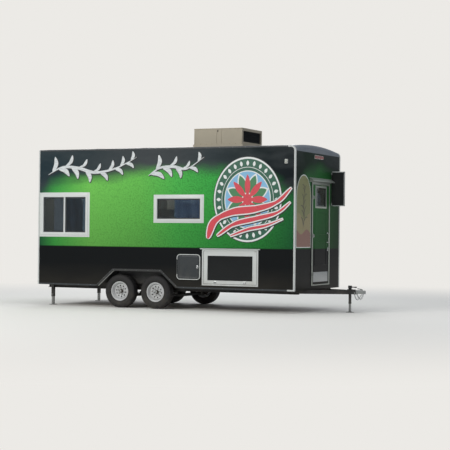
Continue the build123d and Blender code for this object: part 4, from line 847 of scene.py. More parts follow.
# End wall ornament: an arched panel of cut vinyl in olive and dull rose beside the door, laid in
# rolling bands with a plain leafy spray over them.
olive_film = cut_vinyl("olive_vinyl", "#77794a", 0.36, speck=0.35, second="#62683f")
tan_film = cut_vinyl("tan_vinyl", "#8a8058", 0.36, speck=0.3, second="#757048")
rose_film = cut_vinyl("dull_rose_vinyl", "#80594c", 0.36, speck=0.35, second="#6b4a40")
umber_film = cut_vinyl("umber_vinyl", "#4d4a38", 0.4)


def wavy_panel(left, right, low, top, arch, wave, phase):
    """A panel grid: columns run from its foot to a top line that is an arch plus a sine wave."""
    share = np.linspace(0, 1, 49)
    bow = arch * np.sqrt(np.clip(1 - (2 * share - 1) ** 2, 0, 1))
    upper = top + bow + wave * np.sin(2 * math.pi * share * 1.25 + phase)
    rows = np.linspace(0, 1, 5)
    columns = np.repeat((left + (right - left) * share)[:, None], 5, 1)
    return np.stack([columns, low + (upper[:, None] - low) * rows], -1)


end_panels = (
    ("end_panel_edge", (-1.225, -0.432, 1.335, 2.36, 0.47, 0.0, 0.0), 0.0004, badge_white),
    ("end_panel_olive", (-1.21, -0.447, 1.35, 2.36, 0.455, 0.0, 0.0), 0.0008, olive_film),
    ("end_panel_tan", (-1.21, -0.447, 1.35, 1.98, 0.0, 0.06, 0.6), 0.0012, tan_film),
    ("end_panel_rose", (-1.21, -0.447, 1.35, 1.66, 0.0, 0.05, 2.2), 0.0016, rose_film),
)
for name, shape, depth, film in end_panels:
    piece(name, flat_on([wavy_panel(*shape)], depth, "front"), film, shut=False)
end_spray = spray(
    [(-0.86, 1.72), (-0.8, 1.98), (-0.84, 2.22), (-0.78, 2.46), (-0.8, 2.62)], 0.03, 11, 0.24
)
spray_shapes = [brush_sweep(line, width) for line, width in end_spray]
piece("end_panel_spray", flat_on(spray_shapes, 0.002, "front"), umber_film, shut=False)

# Edge trims: extruded aluminium angle over the wall corners, mill white at the upright ends and
# round the front's top corner, and painted dark along the eave and skirt. Screws hold it on.
trim_metal, add, shader, place = fresh("white_painted_aluminium_extrusion")
# Semi-gloss, with grime in patches about 17 cm wide. The eave and skirt runs are dark.
split = add("SeparateXYZ", {"Vector": place})
eave_run = add("Math", {0: split.outputs["Z"], 1: eave_z - 0.04}, operation="GREATER_THAN")
ahead_of = add("Math", {0: split.outputs["X"], 1: rear_x + 0.03}, operation="GREATER_THAN")
behind = add("Math", {0: split.outputs["X"], 1: front_x - 0.16}, operation="LESS_THAN")
between = add("Math", {0: ahead_of, 1: behind}, operation="MULTIPLY")
long_eave = add("Math", {0: between, 1: eave_run}, operation="MULTIPLY")
skirt_run = add("Math", {0: split.outputs["Z"], 1: skirt_z + 0.04}, operation="LESS_THAN")
long_skirt = add("Math", {0: between, 1: skirt_run}, operation="MULTIPLY")
dark_run = add("Math", {0: long_eave, 1: long_skirt}, operation="MAXIMUM")
cloud = add("TexNoise", {"Vector": place, "Scale": 6.0, "Detail": 6.0, "Roughness": 0.65})
grime = add("MapRange", {"Value": cloud, "From": (0.5, 0.8), "To": (0.0, 0.3)})
aged = add("Mix", {0: grime, 6: "#c3c7c6", 7: "#8f8e86"}, data_type="RGBA")
toned = add("Mix", {0: dark_run, 6: aged, 7: "#2f3438"}, data_type="RGBA")
rough = add("MapRange", {"Value": cloud, "To": (0.28, 0.5)})
wire(shader, {"Base Color": toned, "Roughness": rough, "Coat Weight": 0.1})
dress(trim_metal, "edge_trims")

frame_white = paint(
    "white_powder_coated_aluminium", "#cfd3d2", 0.38, dust="#8b8478", dust_high=1.6, bump=0.05, coat=0.12,
    wear=0.05, grain=0.004,
)
arch_black = paint("black_painted_aluminium_trim", "#202427", 0.42, dust_high=0.9, grain=0.004)
screw_steel = paint("stainless_screw_heads", "#a8aaa9", 0.35, metal=0.8, grain=0.002)
dress(arch_black, "arch_trims")


def stood(part, wall, spot=(0, 0, 0)):
    """A part made as across, up and out, moved to a spot and set on a wall."""
    points, faces = part
    return on_wall(points + np.array(spot), wall), faces


def heads(places, wall, radius=0.0045, height=0.0022):
    """Screw or rivet heads: one low dome of nine-sided rings repeated at every place."""
    bend = np.array([0.0, 0.45, 0.9, 1.3])
    cosines, sines = circle(9)
    reach = radius * np.cos(bend)[:, None]
    rings = np.stack([reach * cosines, reach * sines, np.repeat((height * np.sin(bend))[:, None], 9, 1)], -1)
    dome = loft(np.concatenate([rings[:1] - (0, 0, 0.002), rings]))
    return [stood(dome, wall, place) for place in places]


def screws(name, places, wall, radius=0.004, height=0.0018, material=None):
    """A piece of screw heads on a wall, stainless unless another material is given."""
    piece(name, heads(places, wall, radius, height), material or screw_steel, angle=60)


def spaced(start, end, pitch):
    """Evenly spaced places between two ends, at most a pitch apart."""
    return np.linspace(start, end, max(2, int(round(abs(end - start) / pitch)) + 1))


trim_out, arch_out = 0.003, 0.004
trim_screws = []
for wall in ("right", "left"):
    rising = spaced(skirt_z + 0.06, eave_z - 0.14, 0.3)
    places = [(x, z, trim_out) for x in (rear_x + 0.013, front_x - 0.014) for z in rising]
    places += [(x, eave_z - 0.014, trim_out) for x in spaced(rear_x + 0.2, front_x - 0.2, 0.3)]
    skirt_runs = (*spaced(rear_x + 0.1, rear_x + 1.35, 0.3), *spaced(rear_x + 3.6, front_x - 0.1, 0.3))
    places += [(x, skirt_z + 0.014, trim_out) for x in skirt_runs]
    places += [(x, 0.8125, arch_out) for x in spaced(arch_x - 0.56, arch_x + 0.56, 0.25)]
    for end in (-1, 1):
        for t in (0.12, 0.5, 0.88):
            places.append((arch_x + end * (0.965 - 0.37 * t + 0.015), skirt_z + 0.33 * t + 0.008, arch_out))
    trim_screws += heads(places, wall)
piece("trim_screws", trim_screws, screw_steel, angle=60)

# Windows: extruded aluminium frames, powder coated white, mitred at the corners. A flat flange
# screws to the wall, a raised box surrounds the opening, and slim sashes slide in its tracks.
serving = (body_x(0.133), body_x(1.205), 1.604, 2.37)
middle = (body_x(2.959), body_x(3.971), 1.906, 2.33)
split_x = body_x(0.668)


def mitred(span, profile, wall="right", lift=0.0):
    """A frame with mitred corners: each pair of a profile, the width outwards from the opening
    and the height off the wall or off a face lifted from it, is carried round four corners."""
    left, right, low, high = span
    wide, out = np.asarray(profile, float).T
    rings = []
    for x, z, sign_x, sign_z in (
        (left, low, -1, -1), (right, low, 1, -1), (right, high, 1, 1), (left, high, -1, 1)
    ):
        rings.append(np.column_stack([x + sign_x * wide, z + sign_z * wide, out]))
    return stood(loft(rings, loop=True), wall, (0, 0, lift))


def box_section(inner, outer, low, high, edge=0.002):
    """A rectangular profile with rounded outer edges, from inner to outer width."""
    return [
        (inner, low), (outer, low), (outer, high - edge), (outer - edge * 0.3, high - edge * 0.3),
        (outer - edge, high), (inner + edge, high), (inner + edge * 0.3, high - edge * 0.3),
        (inner, high - edge),
    ]


def window_section(wide):
    """A window frame's profile: a sleeve through the wall, a raised box and a flat flange."""
    return [
        (0.0, -0.049), (0.0, -0.002), (0.0005, 0.0125), (0.003, 0.0155), (0.006, 0.016),
        (wide * 0.52, 0.016), (wide * 0.56, 0.0148), (wide * 0.58, 0.0115), (wide * 0.58, 0.0062),
        (wide * 0.61, 0.0048), (wide * 0.97, 0.0042), (wide, 0.003), (wide, 0.0003), (0.0295, 0.0003),
        (0.0295, -0.049),
    ]


def inset(span, by):
    """A span of left, right, low and high drawn in by a distance."""
    left, right, low, high = span
    return left + by, right - by, low + by, high - by


def wall_block(low, high, wall="front", edge=0.002, corner=None):
    """A rounded block on a wall, given as across, up and out."""
    return stood(block(low, high, edge, corner), wall)


def border(span, across, upright, out):
    """Screw places along the four sides of a span: the level and the upright runs each have
    their own ends and pitch."""
    left, right, low, high = span
    level_runs = [(x, z, out) for x in spaced(*across) for z in (low, high)]
    return level_runs + [(x, z, out) for z in spaced(*upright) for x in (left, right)]


gasket = paint("black_rubber_gasket", "#141516", 0.7)
flanges = ((serving, 0.1), (middle, 0.084))
frame_parts = [mitred(span, window_section(wide)) for span, wide in flanges]
frame_parts.append(
    wall_block((split_x - 0.017, 1.602, -0.022), (split_x + 0.017, 2.372, 0.0118), "right", 0.003)
)
frame_parts.append(mitred(serving, box_section(-0.012, 0.001, -0.049, -0.034)))
frames = piece("window_frame_extrusions", frame_parts, frame_white, angle=30)
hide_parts("window_frames")
sashes = (
    ((serving[0] + 0.026, split_x - 0.015, serving[2] + 0.026, serving[3] - 0.026), 0.026, -0.014, -0.001),
    ((split_x + 0.041, serving[1] - 0.026, serving[2] + 0.026, serving[3] - 0.026), 0.026, -0.03, -0.0165),
    (inset(middle, 0.02), 0.02, -0.02, -0.006),
)
dark_sash = paint("dark_bronze_anodised_aluminium", "#3a3f43", 0.35, metal=0.5, bump=0.04)
sash_parts = [mitred(span, box_section(0.0, wide, back, face)) for span, wide, back, face in sashes]
piece("window_sashes", sash_parts, dark_sash, angle=30)
seal_parts = []
for span, wide, back, face in sashes:
    seal_section = box_section(0.0, 0.004, back + 0.0005, back + 0.01, 0.0008)
    seal_parts.append(mitred(inset(span, 0.003), seal_section))
piece("window_seals", seal_parts, gasket, angle=30)
window_screws = []
for span, wide in flanges:
    left, right, low, high = line = inset(span, -0.8 * wide)
    window_screws += border(line, (left + 0.02, right - 0.02, 0.24), (low + 0.03, high - 0.03, 0.22), 0.0044)
screws("window_screws", window_screws, "right")

window_pane, add, shader, place = fresh("tinted_float_glass")
# Clear blue-grey glass, dulled by a film of dirt in patches about a third of a metre wide.
film = add("TexNoise", {"Vector": place, "Scale": 3.0, "Detail": 5.0, "Roughness": 0.6})
rough = add("MapRange", {"Value": film, "From": (0.4, 0.8), "To": (0.02, 0.1)})
wire(shader, {"Roughness": rough, "Base Color": "#a9b6bd", "Transmission Weight": 1.0, "IOR": 1.5})
dress(window_pane, "window_glass", "entry_door_glass")


# Behind the panes: painted reflection on sheets inside the fixed ones, the sash stiles, their pale
# blue partly a painted highlight, and a pale insect screen of woven glass fibre behind the sash that
# slides. Its 1.4 mm weave is too fine to show, so it is drawn as a plain soft cloth.
def paint_reflection_sheet(name, tones):
    """Painted reflection on a sheet behind the glass: soft upright bands of three tones, about 15 cm
    wide, in place of what the glass reflects."""
    made, add, shader, place = fresh(name)
    drawn = add("Mapping", {"Vector": place, "Scale": (5.0, 1.0, 0.8)})
    bands = add("TexNoise", {"Vector": drawn, "Scale": 1.3, "Detail": 3.0})
    tone = add("ValToRGB", {"Fac": bands}, list(zip((0.35, 0.55, 0.7), tones)))
    rough = add("MapRange", {"Value": bands, "To": (0.1, 0.24)})
    wire(shader, {"Base Color": tone, "Roughness": rough})
    return made


fixed_pane = middle[0] + (middle[1] - middle[0]) * 0.4
reflection_sheet_y = 0.03 - side_y
screen_start, screen_y = serving[0] + 0.26, 0.0145 - side_y
# Painted reflection: the sheets' blue-grey tones stand in for what the fixed panes reflect.
dark_blue_reflection = paint_reflection_sheet("dark_blue_painted_window_reflection", ("#222b34", "#34414f", "#475664"))
grey_blue_reflection = paint_reflection_sheet("blue_grey_painted_window_reflection", ("#6c80a2", "#7c93ba", "#8fa4c8"))
screen_cloth = paint("grey_fibreglass_screen_cloth", "#a9a4a6", 0.8, grain=0.002, bump=0.1)
thin_sheets = (
    (
        "serving_window_painted_reflection", inset((split_x + 0.01, serving[1] - 0.076, *serving[2:]), 0.01), reflection_sheet_y,
        dark_blue_reflection,
    ),
    (
        "middle_window_painted_reflection", (fixed_pane, middle[1] - 0.002, middle[2] + 0.01, middle[3] - 0.01), reflection_sheet_y,
        grey_blue_reflection,
    ),
    (
        "window_screen", (screen_start, split_x - 0.019, serving[2] + 0.012, serving[3] - 0.034), screen_y,
        screen_cloth,
    ),
)
for name, (left, right, low, high), y, material in thin_sheets:
    piece(name, [block((left, y, low), (right, y + 0.001, high), 0.0004)], material, angle=30)
# Sash stiles: real anodised aluminium parts, with a painted highlight in their pale blue brightness.
stile_alloy_with_painted_highlight = paint("anodised_stile_aluminium_painted_highlight", "#a4b7c6", 0.3, metal=0.2)
stile_parts = [
    block(
        (fixed_pane - 0.011, reflection_sheet_y - 0.0085, middle[2] + 0.018),
        (fixed_pane + 0.011, reflection_sheet_y - 0.001, middle[3] - 0.018), 0.0015,
    ),
    block(
        (serving[1] - 0.085, reflection_sheet_y, serving[2] + 0.02),
        (serving[1] - 0.03, reflection_sheet_y + 0.006, serving[3] - 0.02), 0.0015,
    ),
]
piece("window_stiles", stile_parts, stile_alloy_with_painted_highlight, angle=30)

# Lower hatch: a top-hinged aluminium door in a white frame, with a black pane held by a mitred
# bead, and two slam latches near its bottom edge.
hatch = (body_x(4.03), body_x(5.3), 0.531, 1.277)
pane = (body_x(4.145), body_x(5.185), 0.627, 1.157)
dark_pane = paint(
    "smoked_acrylic_pane", "#0c1012", 0.16, dust="#2b2d2b", dust_high=1.1, grain=0.05, bump=0.02, wear=0.05,
    more={"Specular IOR Level": 0.3},
)
dress(frame_white, "hatch_frames", "hatch_door")
dress(dark_pane, "hatch_pane")
leaf_face = 0.008
pane_bead = [
    (-0.01, -0.012), (-0.01, 0.001), (-0.008, 0.003), (0.012, 0.0032), (0.015, 0.001), (0.015, -0.001)
]
edge_bead = [(0.0, -0.001), (0.0, 0.0018), (0.006, 0.0018), (0.006, -0.001)]
beads = [mitred(pane, pane_bead, lift=leaf_face), mitred(inset(hatch, 0.046), edge_bead, lift=leaf_face)]
piece("hatch_beads", beads, frame_white, "hatch_door", angle=30)
gap_seal = [(-0.0065, 0.001), (-0.0065, 0.005), (-0.0005, 0.005), (-0.0005, 0.001)]
piece("hatch_gap_seal", [mitred(inset(hatch, 0.0285), gap_seal)], gasket, angle=30)
left, right, low, high = hatch[0] + 0.014, hatch[1] - 0.014, hatch[2] + 0.014, hatch[3] - 0.012
upright = (hatch[2] + 0.12, hatch[3] - 0.12, 0.18)
hatch_screws = border((left, right, low, high), (left, right, 0.2), upright, 0.012)
screws("hatch_frame_screws", hatch_screws, "right")


def slam_latch(across, up, out, wall, wide=0.062, tall=0.05):
    """A slam latch: a dished plate with rounded corners, a paddle in it and a key barrel."""
    rings = []
    for shrink, height in (
        (0.0, 0.0), (0.0, 0.0022), (0.0015, 0.0035), (0.007, 0.0035), (0.009, 0.0015), (0.01, -0.002)
    ):
        flat = outline(wide / 2 - shrink, tall / 2 - shrink, 0.009 - min(shrink, 0.006) * 0.6, 4)
        rings.append(np.column_stack([flat, np.full(len(flat), height)]))
    paddle = block((-wide * 0.28, -tall * 0.3, -0.001), (wide * 0.28, tall * 0.12, 0.0045), 0.0015)
    profile = [(0.0055, -0.001), (0.0055, 0.0038), (0.0045, 0.0048), (0.0008, 0.0048)]
    barrel = turned(profile, (0, tall * 0.27, 0), (0, 0, 1), 20)
    return [stood(part, wall, (across, up, out)) for part in (loft(rings), paddle, barrel)]


latch_chrome = paint(
    "chromed_zinc_die_casting", "#b9bcbd", 0.18, metal=0.95, grain=0.002, bump=0.03, wear=0.05
)
hatch_latches = []
for x in (hatch[0] + 0.3, hatch[1] - 0.3):
    hatch_latches += slam_latch(x, hatch[2] + 0.068, leaf_face, "right")
piece("hatch_latches", hatch_latches, latch_chrome, "hatch_door", angle=40)

# Round-cornered side door ahead of the wheels: a dark sheet leaf in a bright rolled ring, with
# a pressed swage and one slam latch.
small = (body_x(3.44), body_x(3.985), 0.641, 1.17)
small_middle = ((small[0] + small[1]) / 2, (small[2] + small[3]) / 2)
half_wide, half_tall = (small[1] - small[0]) / 2, (small[3] - small[2]) / 2
dark_leaf = paint(
    "dark_blue_grey_enamel_sheet", "#1d262c", 0.3, dust="#6d6558", dust_high=1.1, grain=0.006, bump=0.05,
    coat=0.2,
)
dress(dark_leaf, "small_door")
ring_levels = (
    (0.0, 0.0), (0.0, 0.0085), (0.0015, 0.0112), (0.0045, 0.0121), (0.0095, 0.0121), (0.0125, 0.0112),
    (0.014, 0.0085), (0.014, 0.0),
)
ring = stacked(ring_levels, half_wide + 0.0005, half_tall + 0.0005, 0.0755, small_middle, 12, loop=True)
piece("small_door_ring", [stood(ring, "right")], frame_white, angle=40)
swage_levels = (
    (0.0, 0.0078), (0.0, 0.01), (0.003, 0.0112), (0.008, 0.0112), (0.011, 0.01), (0.011, 0.0078)
)
swage = stacked(swage_levels, half_wide - 0.04, half_tall - 0.04, 0.04, small_middle, 10, loop=True)
piece("small_door_swage", [stood(swage, "right")], dark_leaf, "small_door", angle=40)
small_latch = slam_latch(small[1] - 0.062, small_middle[1], leaf_face, "right", 0.05, 0.058)
piece("small_door_latch", small_latch, latch_chrome, "small_door", angle=40)

# Entry door: a flush insulated leaf skinned with the same print, in a mill finish frame. It has a
# small glazed light in a bright bezel, a pull handle and a lock, a kick plate of bright tread
# sheet, and hangs on three butt hinges.
door_alloy = paint(
    "mill_finish_aluminium_extrusion", "#a3aaa2", 0.34, metal=0.55, dust_high=0.7, bump=0.05, wear=0.08
)
dress(door_alloy, "entry_frame", "service_frame")
dress(wrap_door, "entry_door")
door_face = 0.008
light = (-0.17, 0.4, 2.2, 2.59)
leaf = (-0.343, 0.597, 0.573, 2.642)
bezel = [
    (-0.001, -0.006), (-0.001, 0.0165), (0.003, 0.0185), (0.012, 0.019), (0.03, 0.0184), (0.0385, 0.0165),
    (0.0412, 0.012), (0.0412, 0.0078),
]
piece("entry_light_bezel", [mitred(light, bezel, "front")], door_alloy, "entry_door", angle=30)
lip = [(-0.0075, -0.005), (-0.0075, 0.004), (-0.005, 0.01), (-0.001, 0.0125), (-0.001, -0.005)]
piece("entry_light_gasket", [mitred(light, lip, "front")], gasket, "entry_door", angle=40)
leaf_bead = [
    (-0.026, -0.001), (-0.026, 0.0012), (-0.0235, 0.0022), (-0.0215, 0.0022), (-0.019, 0.0012),
    (-0.019, -0.001),
]
panel_bead = [
    (0.0, -0.001), (0.001, 0.003), (0.005, 0.0042), (0.01, 0.0042), (0.014, 0.003), (0.015, -0.001)
]
leaf_parts = [mitred(inset(leaf, 0.02), leaf_bead, "front", door_face)]
for low, high in ((1.62, 2.06), (0.98, 1.46)):
    leaf_parts.append(mitred((leaf[0] + 0.14, leaf[1] - 0.17, low, high), panel_bead, "front", door_face))
piece("entry_leaf_swages", leaf_parts, wrap_door, "entry_door", angle=30)

tread_sheet, add, shader, place = fresh("bright_aluminium_tread_sheet")
# Rolled bright, with raised bars 19 mm apart that lie one way and the other in 33 mm squares.
slanted = add("Mapping", {"Vector": place, "Rotation": (0.785, 0, 0), "Scale": (1.0, 30.0, 30.0)})
squares = add("TexChecker", {"Vector": slanted, "Scale": 1.0})
bars = add("TexWave", {"Vector": slanted, "Scale": 0.55, "Distortion": 0.0}, bands_direction="Y")
cross_bars = add("TexWave", {"Vector": slanted, "Scale": 0.55, "Distortion": 0.0}, bands_direction="Z")
chosen = add("Mix", {0: squares.outputs["Fac"], 6: bars, 7: cross_bars}, data_type="RGBA")
raised = add("MapRange", {"Value": chosen, "From": (0.55, 0.85)})
relief = add("Bump", {"Height": raised, "Strength": 0.9, "Distance": 0.0012})
wire(shader, {"Normal": relief, "Base Color": "#a9adae", "Metallic": 0.9, "Roughness": 0.32})
kick_low = (leaf[0] + 0.045, leaf[2] + 0.04, door_face - 0.001)
kick_high = (leaf[1] - 0.045, leaf[2] + 0.25, door_face + 0.0018)
piece("entry_kick_plate", [wall_block(kick_low, kick_high, edge=0.0008)], tread_sheet, "entry_door", angle=40)
kick_screws = [
    (y, z, kick_high[2])
    for y in spaced(leaf[0] + 0.06, leaf[1] - 0.06, 0.13)
    for z in (leaf[2] + 0.055, leaf[2] + 0.235)
]
lock_levels = ((0.0, 0.0), (0.0, 0.0035), (0.0012, 0.005), (0.004, 0.0055))
barrel = [(0.01, 0.004), (0.01, 0.0085), (0.0085, 0.01), (0.0015, 0.01)]
handle_foot = [(0.019, 0.0), (0.019, 0.003), (0.0165, 0.006), (0.0125, 0.012), (0.0115, 0.02)]
outside_lock = [
    stacked(lock_levels, 0.017, 0.04, 0.017, (0.545, 1.3)),
    turned(barrel, (0.545, 1.308, 0), (0, 0, 1), 28),
    block((0.5438, 1.3, 0.0096), (0.5462, 1.316, 0.0106), 0.0004),
    *(turned(handle_foot, (0.515, z, 0), (0, 0, 1), 28) for z in (1.445, 1.635)),
]
door_parts = heads(kick_screws, "front", 0.004, 0.002)
door_parts += [stood(part, "front", (0, 0, door_face)) for part in outside_lock]
piece("entry_door_fittings", door_parts, latch_chrome, "entry_door", angle=40)

# The door's inner side: a bezel round the light, a pale sheet behind its glass that is painted
# reflection, an aluminium edge channel, and a lever on a lock case.
inner_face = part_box("entry_door")[0].x - front_x
inner_bezel = [
    (-0.001, 0.016), (-0.001, -0.0025), (0.003, -0.0045), (0.03, -0.0042), (0.04, -0.0025), (0.0412, 0.001)
]
edge_channel = [
    (-0.0005, 0.001), (-0.0005, -0.0016), (0.0, -0.002), (0.0215, -0.002), (0.022, -0.0016), (0.022, 0.001)
]
inner_parts = [
    mitred(light, inner_bezel, "front", inner_face),
    mitred(inset(leaf, 0.024), edge_channel, "front", inner_face),
]
piece("entry_inner_trims", inner_parts, door_alloy, "entry_door", angle=30)
# Painted reflection: a pale sheet behind part of the door's light, in place of what its glass reflects.
reflection_sheet_low = (light[0] + 0.012, light[2] + 0.01, inner_face + 0.015)
door_light_reflection = wall_block(reflection_sheet_low, (light[0] + 0.33, light[2] + 0.275, inner_face + 0.0162), edge=0.0004)
pale_reflection_paint = paint("pale_painted_door_reflection", "#e3d5cc", 0.85, grain=0.002, bump=0.1)
piece("entry_light_painted_reflection", [door_light_reflection], pale_reflection_paint, "entry_door", angle=30)
lever_z = 1.3
lever_line = [(0.541, -0.01), (0.541, -0.046), (0.534, -0.055), (0.524, -0.058), (0.43, -0.058)]
lever_path = on_wall([(y, lever_z, inner_face + out) for y, out in lever_line], "front")
lock_parts = [
    wall_block(
        (0.515, lever_z - 0.085, inner_face - 0.012), (0.567, lever_z + 0.085, inner_face + 0.001), edge=0.004
    ),
    tube(lever_path, 0.0085, 14),
    wall_block(
        (0.535, lever_z + 0.048, inner_face - 0.024), (0.547, lever_z + 0.072, inner_face - 0.011), edge=0.003
    ),
]
piece("entry_inner_lock", lock_parts, latch_chrome, "entry_door", angle=40)
piece("entry_jamb_strip", [wall_block((-0.418, 0.56, 0.0), (-0.3865, 2.705, 0.006))], gasket, angle=40)
frame_screws = [(y, z, 0.012) for z in spaced(0.62, 2.66, 0.26) for y in (-0.362, 0.632)]
frame_screws += [(y, 2.677, 0.012) for y in spaced(-0.3, 0.57, 0.22)]
screws("entry_frame_screws", frame_screws, "front")
frame_seal = [(-0.0015, -0.006), (-0.0015, -0.001), (0.0025, -0.001), (0.0025, -0.006)]
piece("entry_frame_seal", [mitred((-0.339, 0.609, 0.569, 2.654), frame_seal, "front")], gasket, angle=40)

# Folding side board: a dark coated plywood menu board on a long hinge beside the door, edged
# with a thin aluminium channel that rivets hold.
board_black = paint("matt_black_coated_board", "#1a1d1f", 0.5, dust_high=0.5, bump=0.08)
dress(board_black, "side_board")
dress(zinc_plate, "board_bracket", "coupler")
board_low, board_high = Vector((front_x + 0.021, 0.748, 2.22)), Vector((front_x + 0.306, 0.773, 2.96))
near_y, far_y = board_low.y - 0.0012, board_high.y + 0.0012
channel_parts = [
    block((board_low.x + 0.004, near_y, board_low.z), (board_high.x, far_y, board_low.z + 0.016), 0.0008),
    block((board_low.x + 0.004, near_y, board_high.z - 0.016), (board_high.x, far_y, board_high.z), 0.0008),
    block((board_high.x - 0.016, near_y, board_low.z), (board_high.x, far_y, board_high.z), 0.0008),
]
piece("board_edging", channel_parts, frame_white, "side_board", angle=30)
rivet = [(0.0042, -0.001), (0.0042, 0.0), (0.0038, 0.001), (0.0024, 0.0018), (0.0006, 0.002)]
rivet_parts = []
for z in spaced(board_low.z + 0.04, board_high.z - 0.04, 0.16):
    for y, side in ((near_y, -1), (far_y, 1)):
        rivet_parts.append(turned(rivet, (board_high.x - 0.008, y, z), (0, side, 0), 12))
piece("board_rivets", rivet_parts, screw_steel, "side_board", angle=60)

# Roof: one aluminium sheet with a low crown, rolled down at the front, painted slate grey and
# dusty. Butyl-bedded battens cross it at the joints, and screws hold them.
roof_slate = paint(
    "slate_grey_painted_roof_sheet", "#5f6874", 0.42, dust="#8e8778", dust_high=4.2, grain=0.01, bump=0.06,
    coat=0.1, wear=0.12,
)
add = partial(add_node, roof_slate.node_tree)
shader = roof_slate.node_tree.nodes["Principled BSDF"]
facing = add("SeparateXYZ", {"Vector": add("NewGeometry").outputs["Normal"]})
under = add("Math", {0: facing.outputs["Z"], 1: -0.3}, operation="LESS_THAN")
outer_colour = shader.inputs["Base Color"].links[0].from_socket
sides = add("Mix", {0: under, 6: outer_colour, 7: "#cfd0cc"}, data_type="RGBA")
wire(shader, {"Base Color": sides})
dress(roof_slate, "roof")
roof_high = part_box("roof")[1]
half_roof, crown = roof_high.y, roof_high.z
sheet_joints = [body_x(distance) for distance in (1.219, 2.438, 4.877)]


def roof_height(y):
    """The roof's height across its width: an arc from the eave to the crown."""
    radius = (half_roof ** 2 + (crown - eave_z) ** 2) / (2 * (crown - eave_z))
    return crown - radius + np.sqrt(radius ** 2 - np.asarray(y) ** 2)


def roof_strip(x, wide, thick):
    """A thin batten over the roof's curve: its section is carried across the width."""
    reach = wide / 2
    section = np.array([
        (-reach, -0.002), (-reach, thick * 0.5), (-reach + thick, thick), (reach - thick, thick),
        (reach, thick * 0.5), (reach, -0.002),
    ])
    along, up = section.T
    return loft([
        np.stack([x + along, np.full(6, y), roof_height(y) + up], -1)
        for y in np.linspace(-1.235, 1.235, 41)
    ])


battens = [roof_strip(x, 0.04, 0.0035) for x in sheet_joints]
battens.append(roof_strip(body_x(0.03), 0.03, 0.003))
piece("roof_battens", battens, roof_slate, angle=40)
sealant = paint("grey_butyl_sealant", "#8d8f8c", 0.6, dust_high=4.2, grain=0.01, bump=0.4)
sealant_parts = []
for x in sheet_joints:
    for edge_x in (x - 0.024, x + 0.024):
        y = np.linspace(-1.225, 1.225, 60)
        wobble = 0.0015 * np.sin(y * 23 + x - rear_x)
        sealant_parts.append(tube(np.stack([edge_x + wobble, y, roof_height(y)], -1), 0.0035, 8))
piece("roof_sealant", sealant_parts, sealant, angle=60)
roof_screw = [(0.005, -0.001), (0.005, 0.001), (0.0035, 0.0024), (0.0006, 0.0028)]
roof_screws = []
for x in sheet_joints:
    for y in spaced(-1.2, 1.2, 0.12):
        roof_screws.append(turned(roof_screw, (x, y, float(roof_height(y)) + 0.0033), (0, -y * 0.06, 1), 10))
piece("roof_screws", roof_screws, screw_steel, angle=60)
seam_rivets = [(y, 3.286, 0.0) for y in spaced(-1.22, 1.22, 0.075)]
screws("front_seam_rivets", seam_rivets, "front", 0.0075, 0.003, gasket)

# Roof unit: a packaged cooling unit in baked beige enamel on a sheet curb. Folded corner posts
# and standing seams stiffen its side panels, sheet screws and a small latch hold them, and the
# forward end shows the finned coil behind its opening.
beige_enamel = paint(
    "baked_beige_enamel_sheet", "#a89f8b", 0.45, dust="#8a7f6a", dust_high=5.0, grain=0.006, bump=0.05,
    wear=0.07,
)
dress(beige_enamel, "roof_unit")
unit_low = Vector((body_x(3.43), -0.52, 3.51))
unit_high = Vector((body_x(4.56), 0.52, 3.852))


def side_strip(side, x_span, z_span, middle_y, half_thick, edge):
    """A strip against one side of the roof unit, between two places along it and two heights."""
    low = (x_span[0], side * middle_y - half_thick, z_span[0])
    return block(low, (x_span[1], side * middle_y + half_thick, z_span[1]), edge)


unit_parts = []
for x in (unit_low.x + 0.012, unit_high.x - 0.012):
    for side in (-1, 1):
        z_span = (unit_low.z + 0.004, unit_high.z - 0.004)
        unit_parts.append(side_strip(side, (x - 0.012, x + 0.012), z_span, 0.5215, 0.0015, 0.0014))
for share in (0.47, 0.57):
    x = unit_low.x + share * (unit_high.x - unit_low.x)
    for side in (-1, 1):
        z_span = (unit_low.z + 0.014, unit_high.z - 0.02)
        unit_parts.append(side_strip(side, (x - 0.005, x + 0.005), z_span, 0.5225, 0.0025, 0.0022))
for side in (-1, 1):
    for z_span in ((unit_high.z - 0.018, unit_high.z - 0.001), (unit_low.z + 0.001, unit_low.z + 0.012)):
        unit_parts.append(side_strip(side, (unit_low.x, unit_high.x), z_span, 0.522, 0.002, 0.0016))
piece("unit_seams", unit_parts, beige_enamel, angle=30)
sheet_screw = [(0.0048, -0.001), (0.0048, 0.0014), (0.0036, 0.003), (0.0008, 0.0034)]
unit_screws = []
for side in (-1, 1):
    for x in spaced(unit_low.x + 0.012, unit_high.x - 0.012, 0.14):
        for z in (unit_low.z + 0.0065, unit_high.z - 0.0095):
            unit_screws.append(turned(sheet_screw, (x, side * 0.5238, z), (0, side, 0), 10))
latch_x = unit_low.x + 0.475 * (unit_high.x - unit_low.x)
for side in (-1, 1):
    z_span = (unit_high.z - 0.075, unit_high.z - 0.045)
    unit_screws.append(side_strip(side, (latch_x + 0.012, latch_x + 0.034), z_span, 0.523, 0.004, 0.002))
black_steel = paint("blackened_steel_fasteners", "#34322e", 0.45, metal=0.6, grain=0.004)
piece("unit_screws_and_latches", unit_screws, black_steel, angle=60)

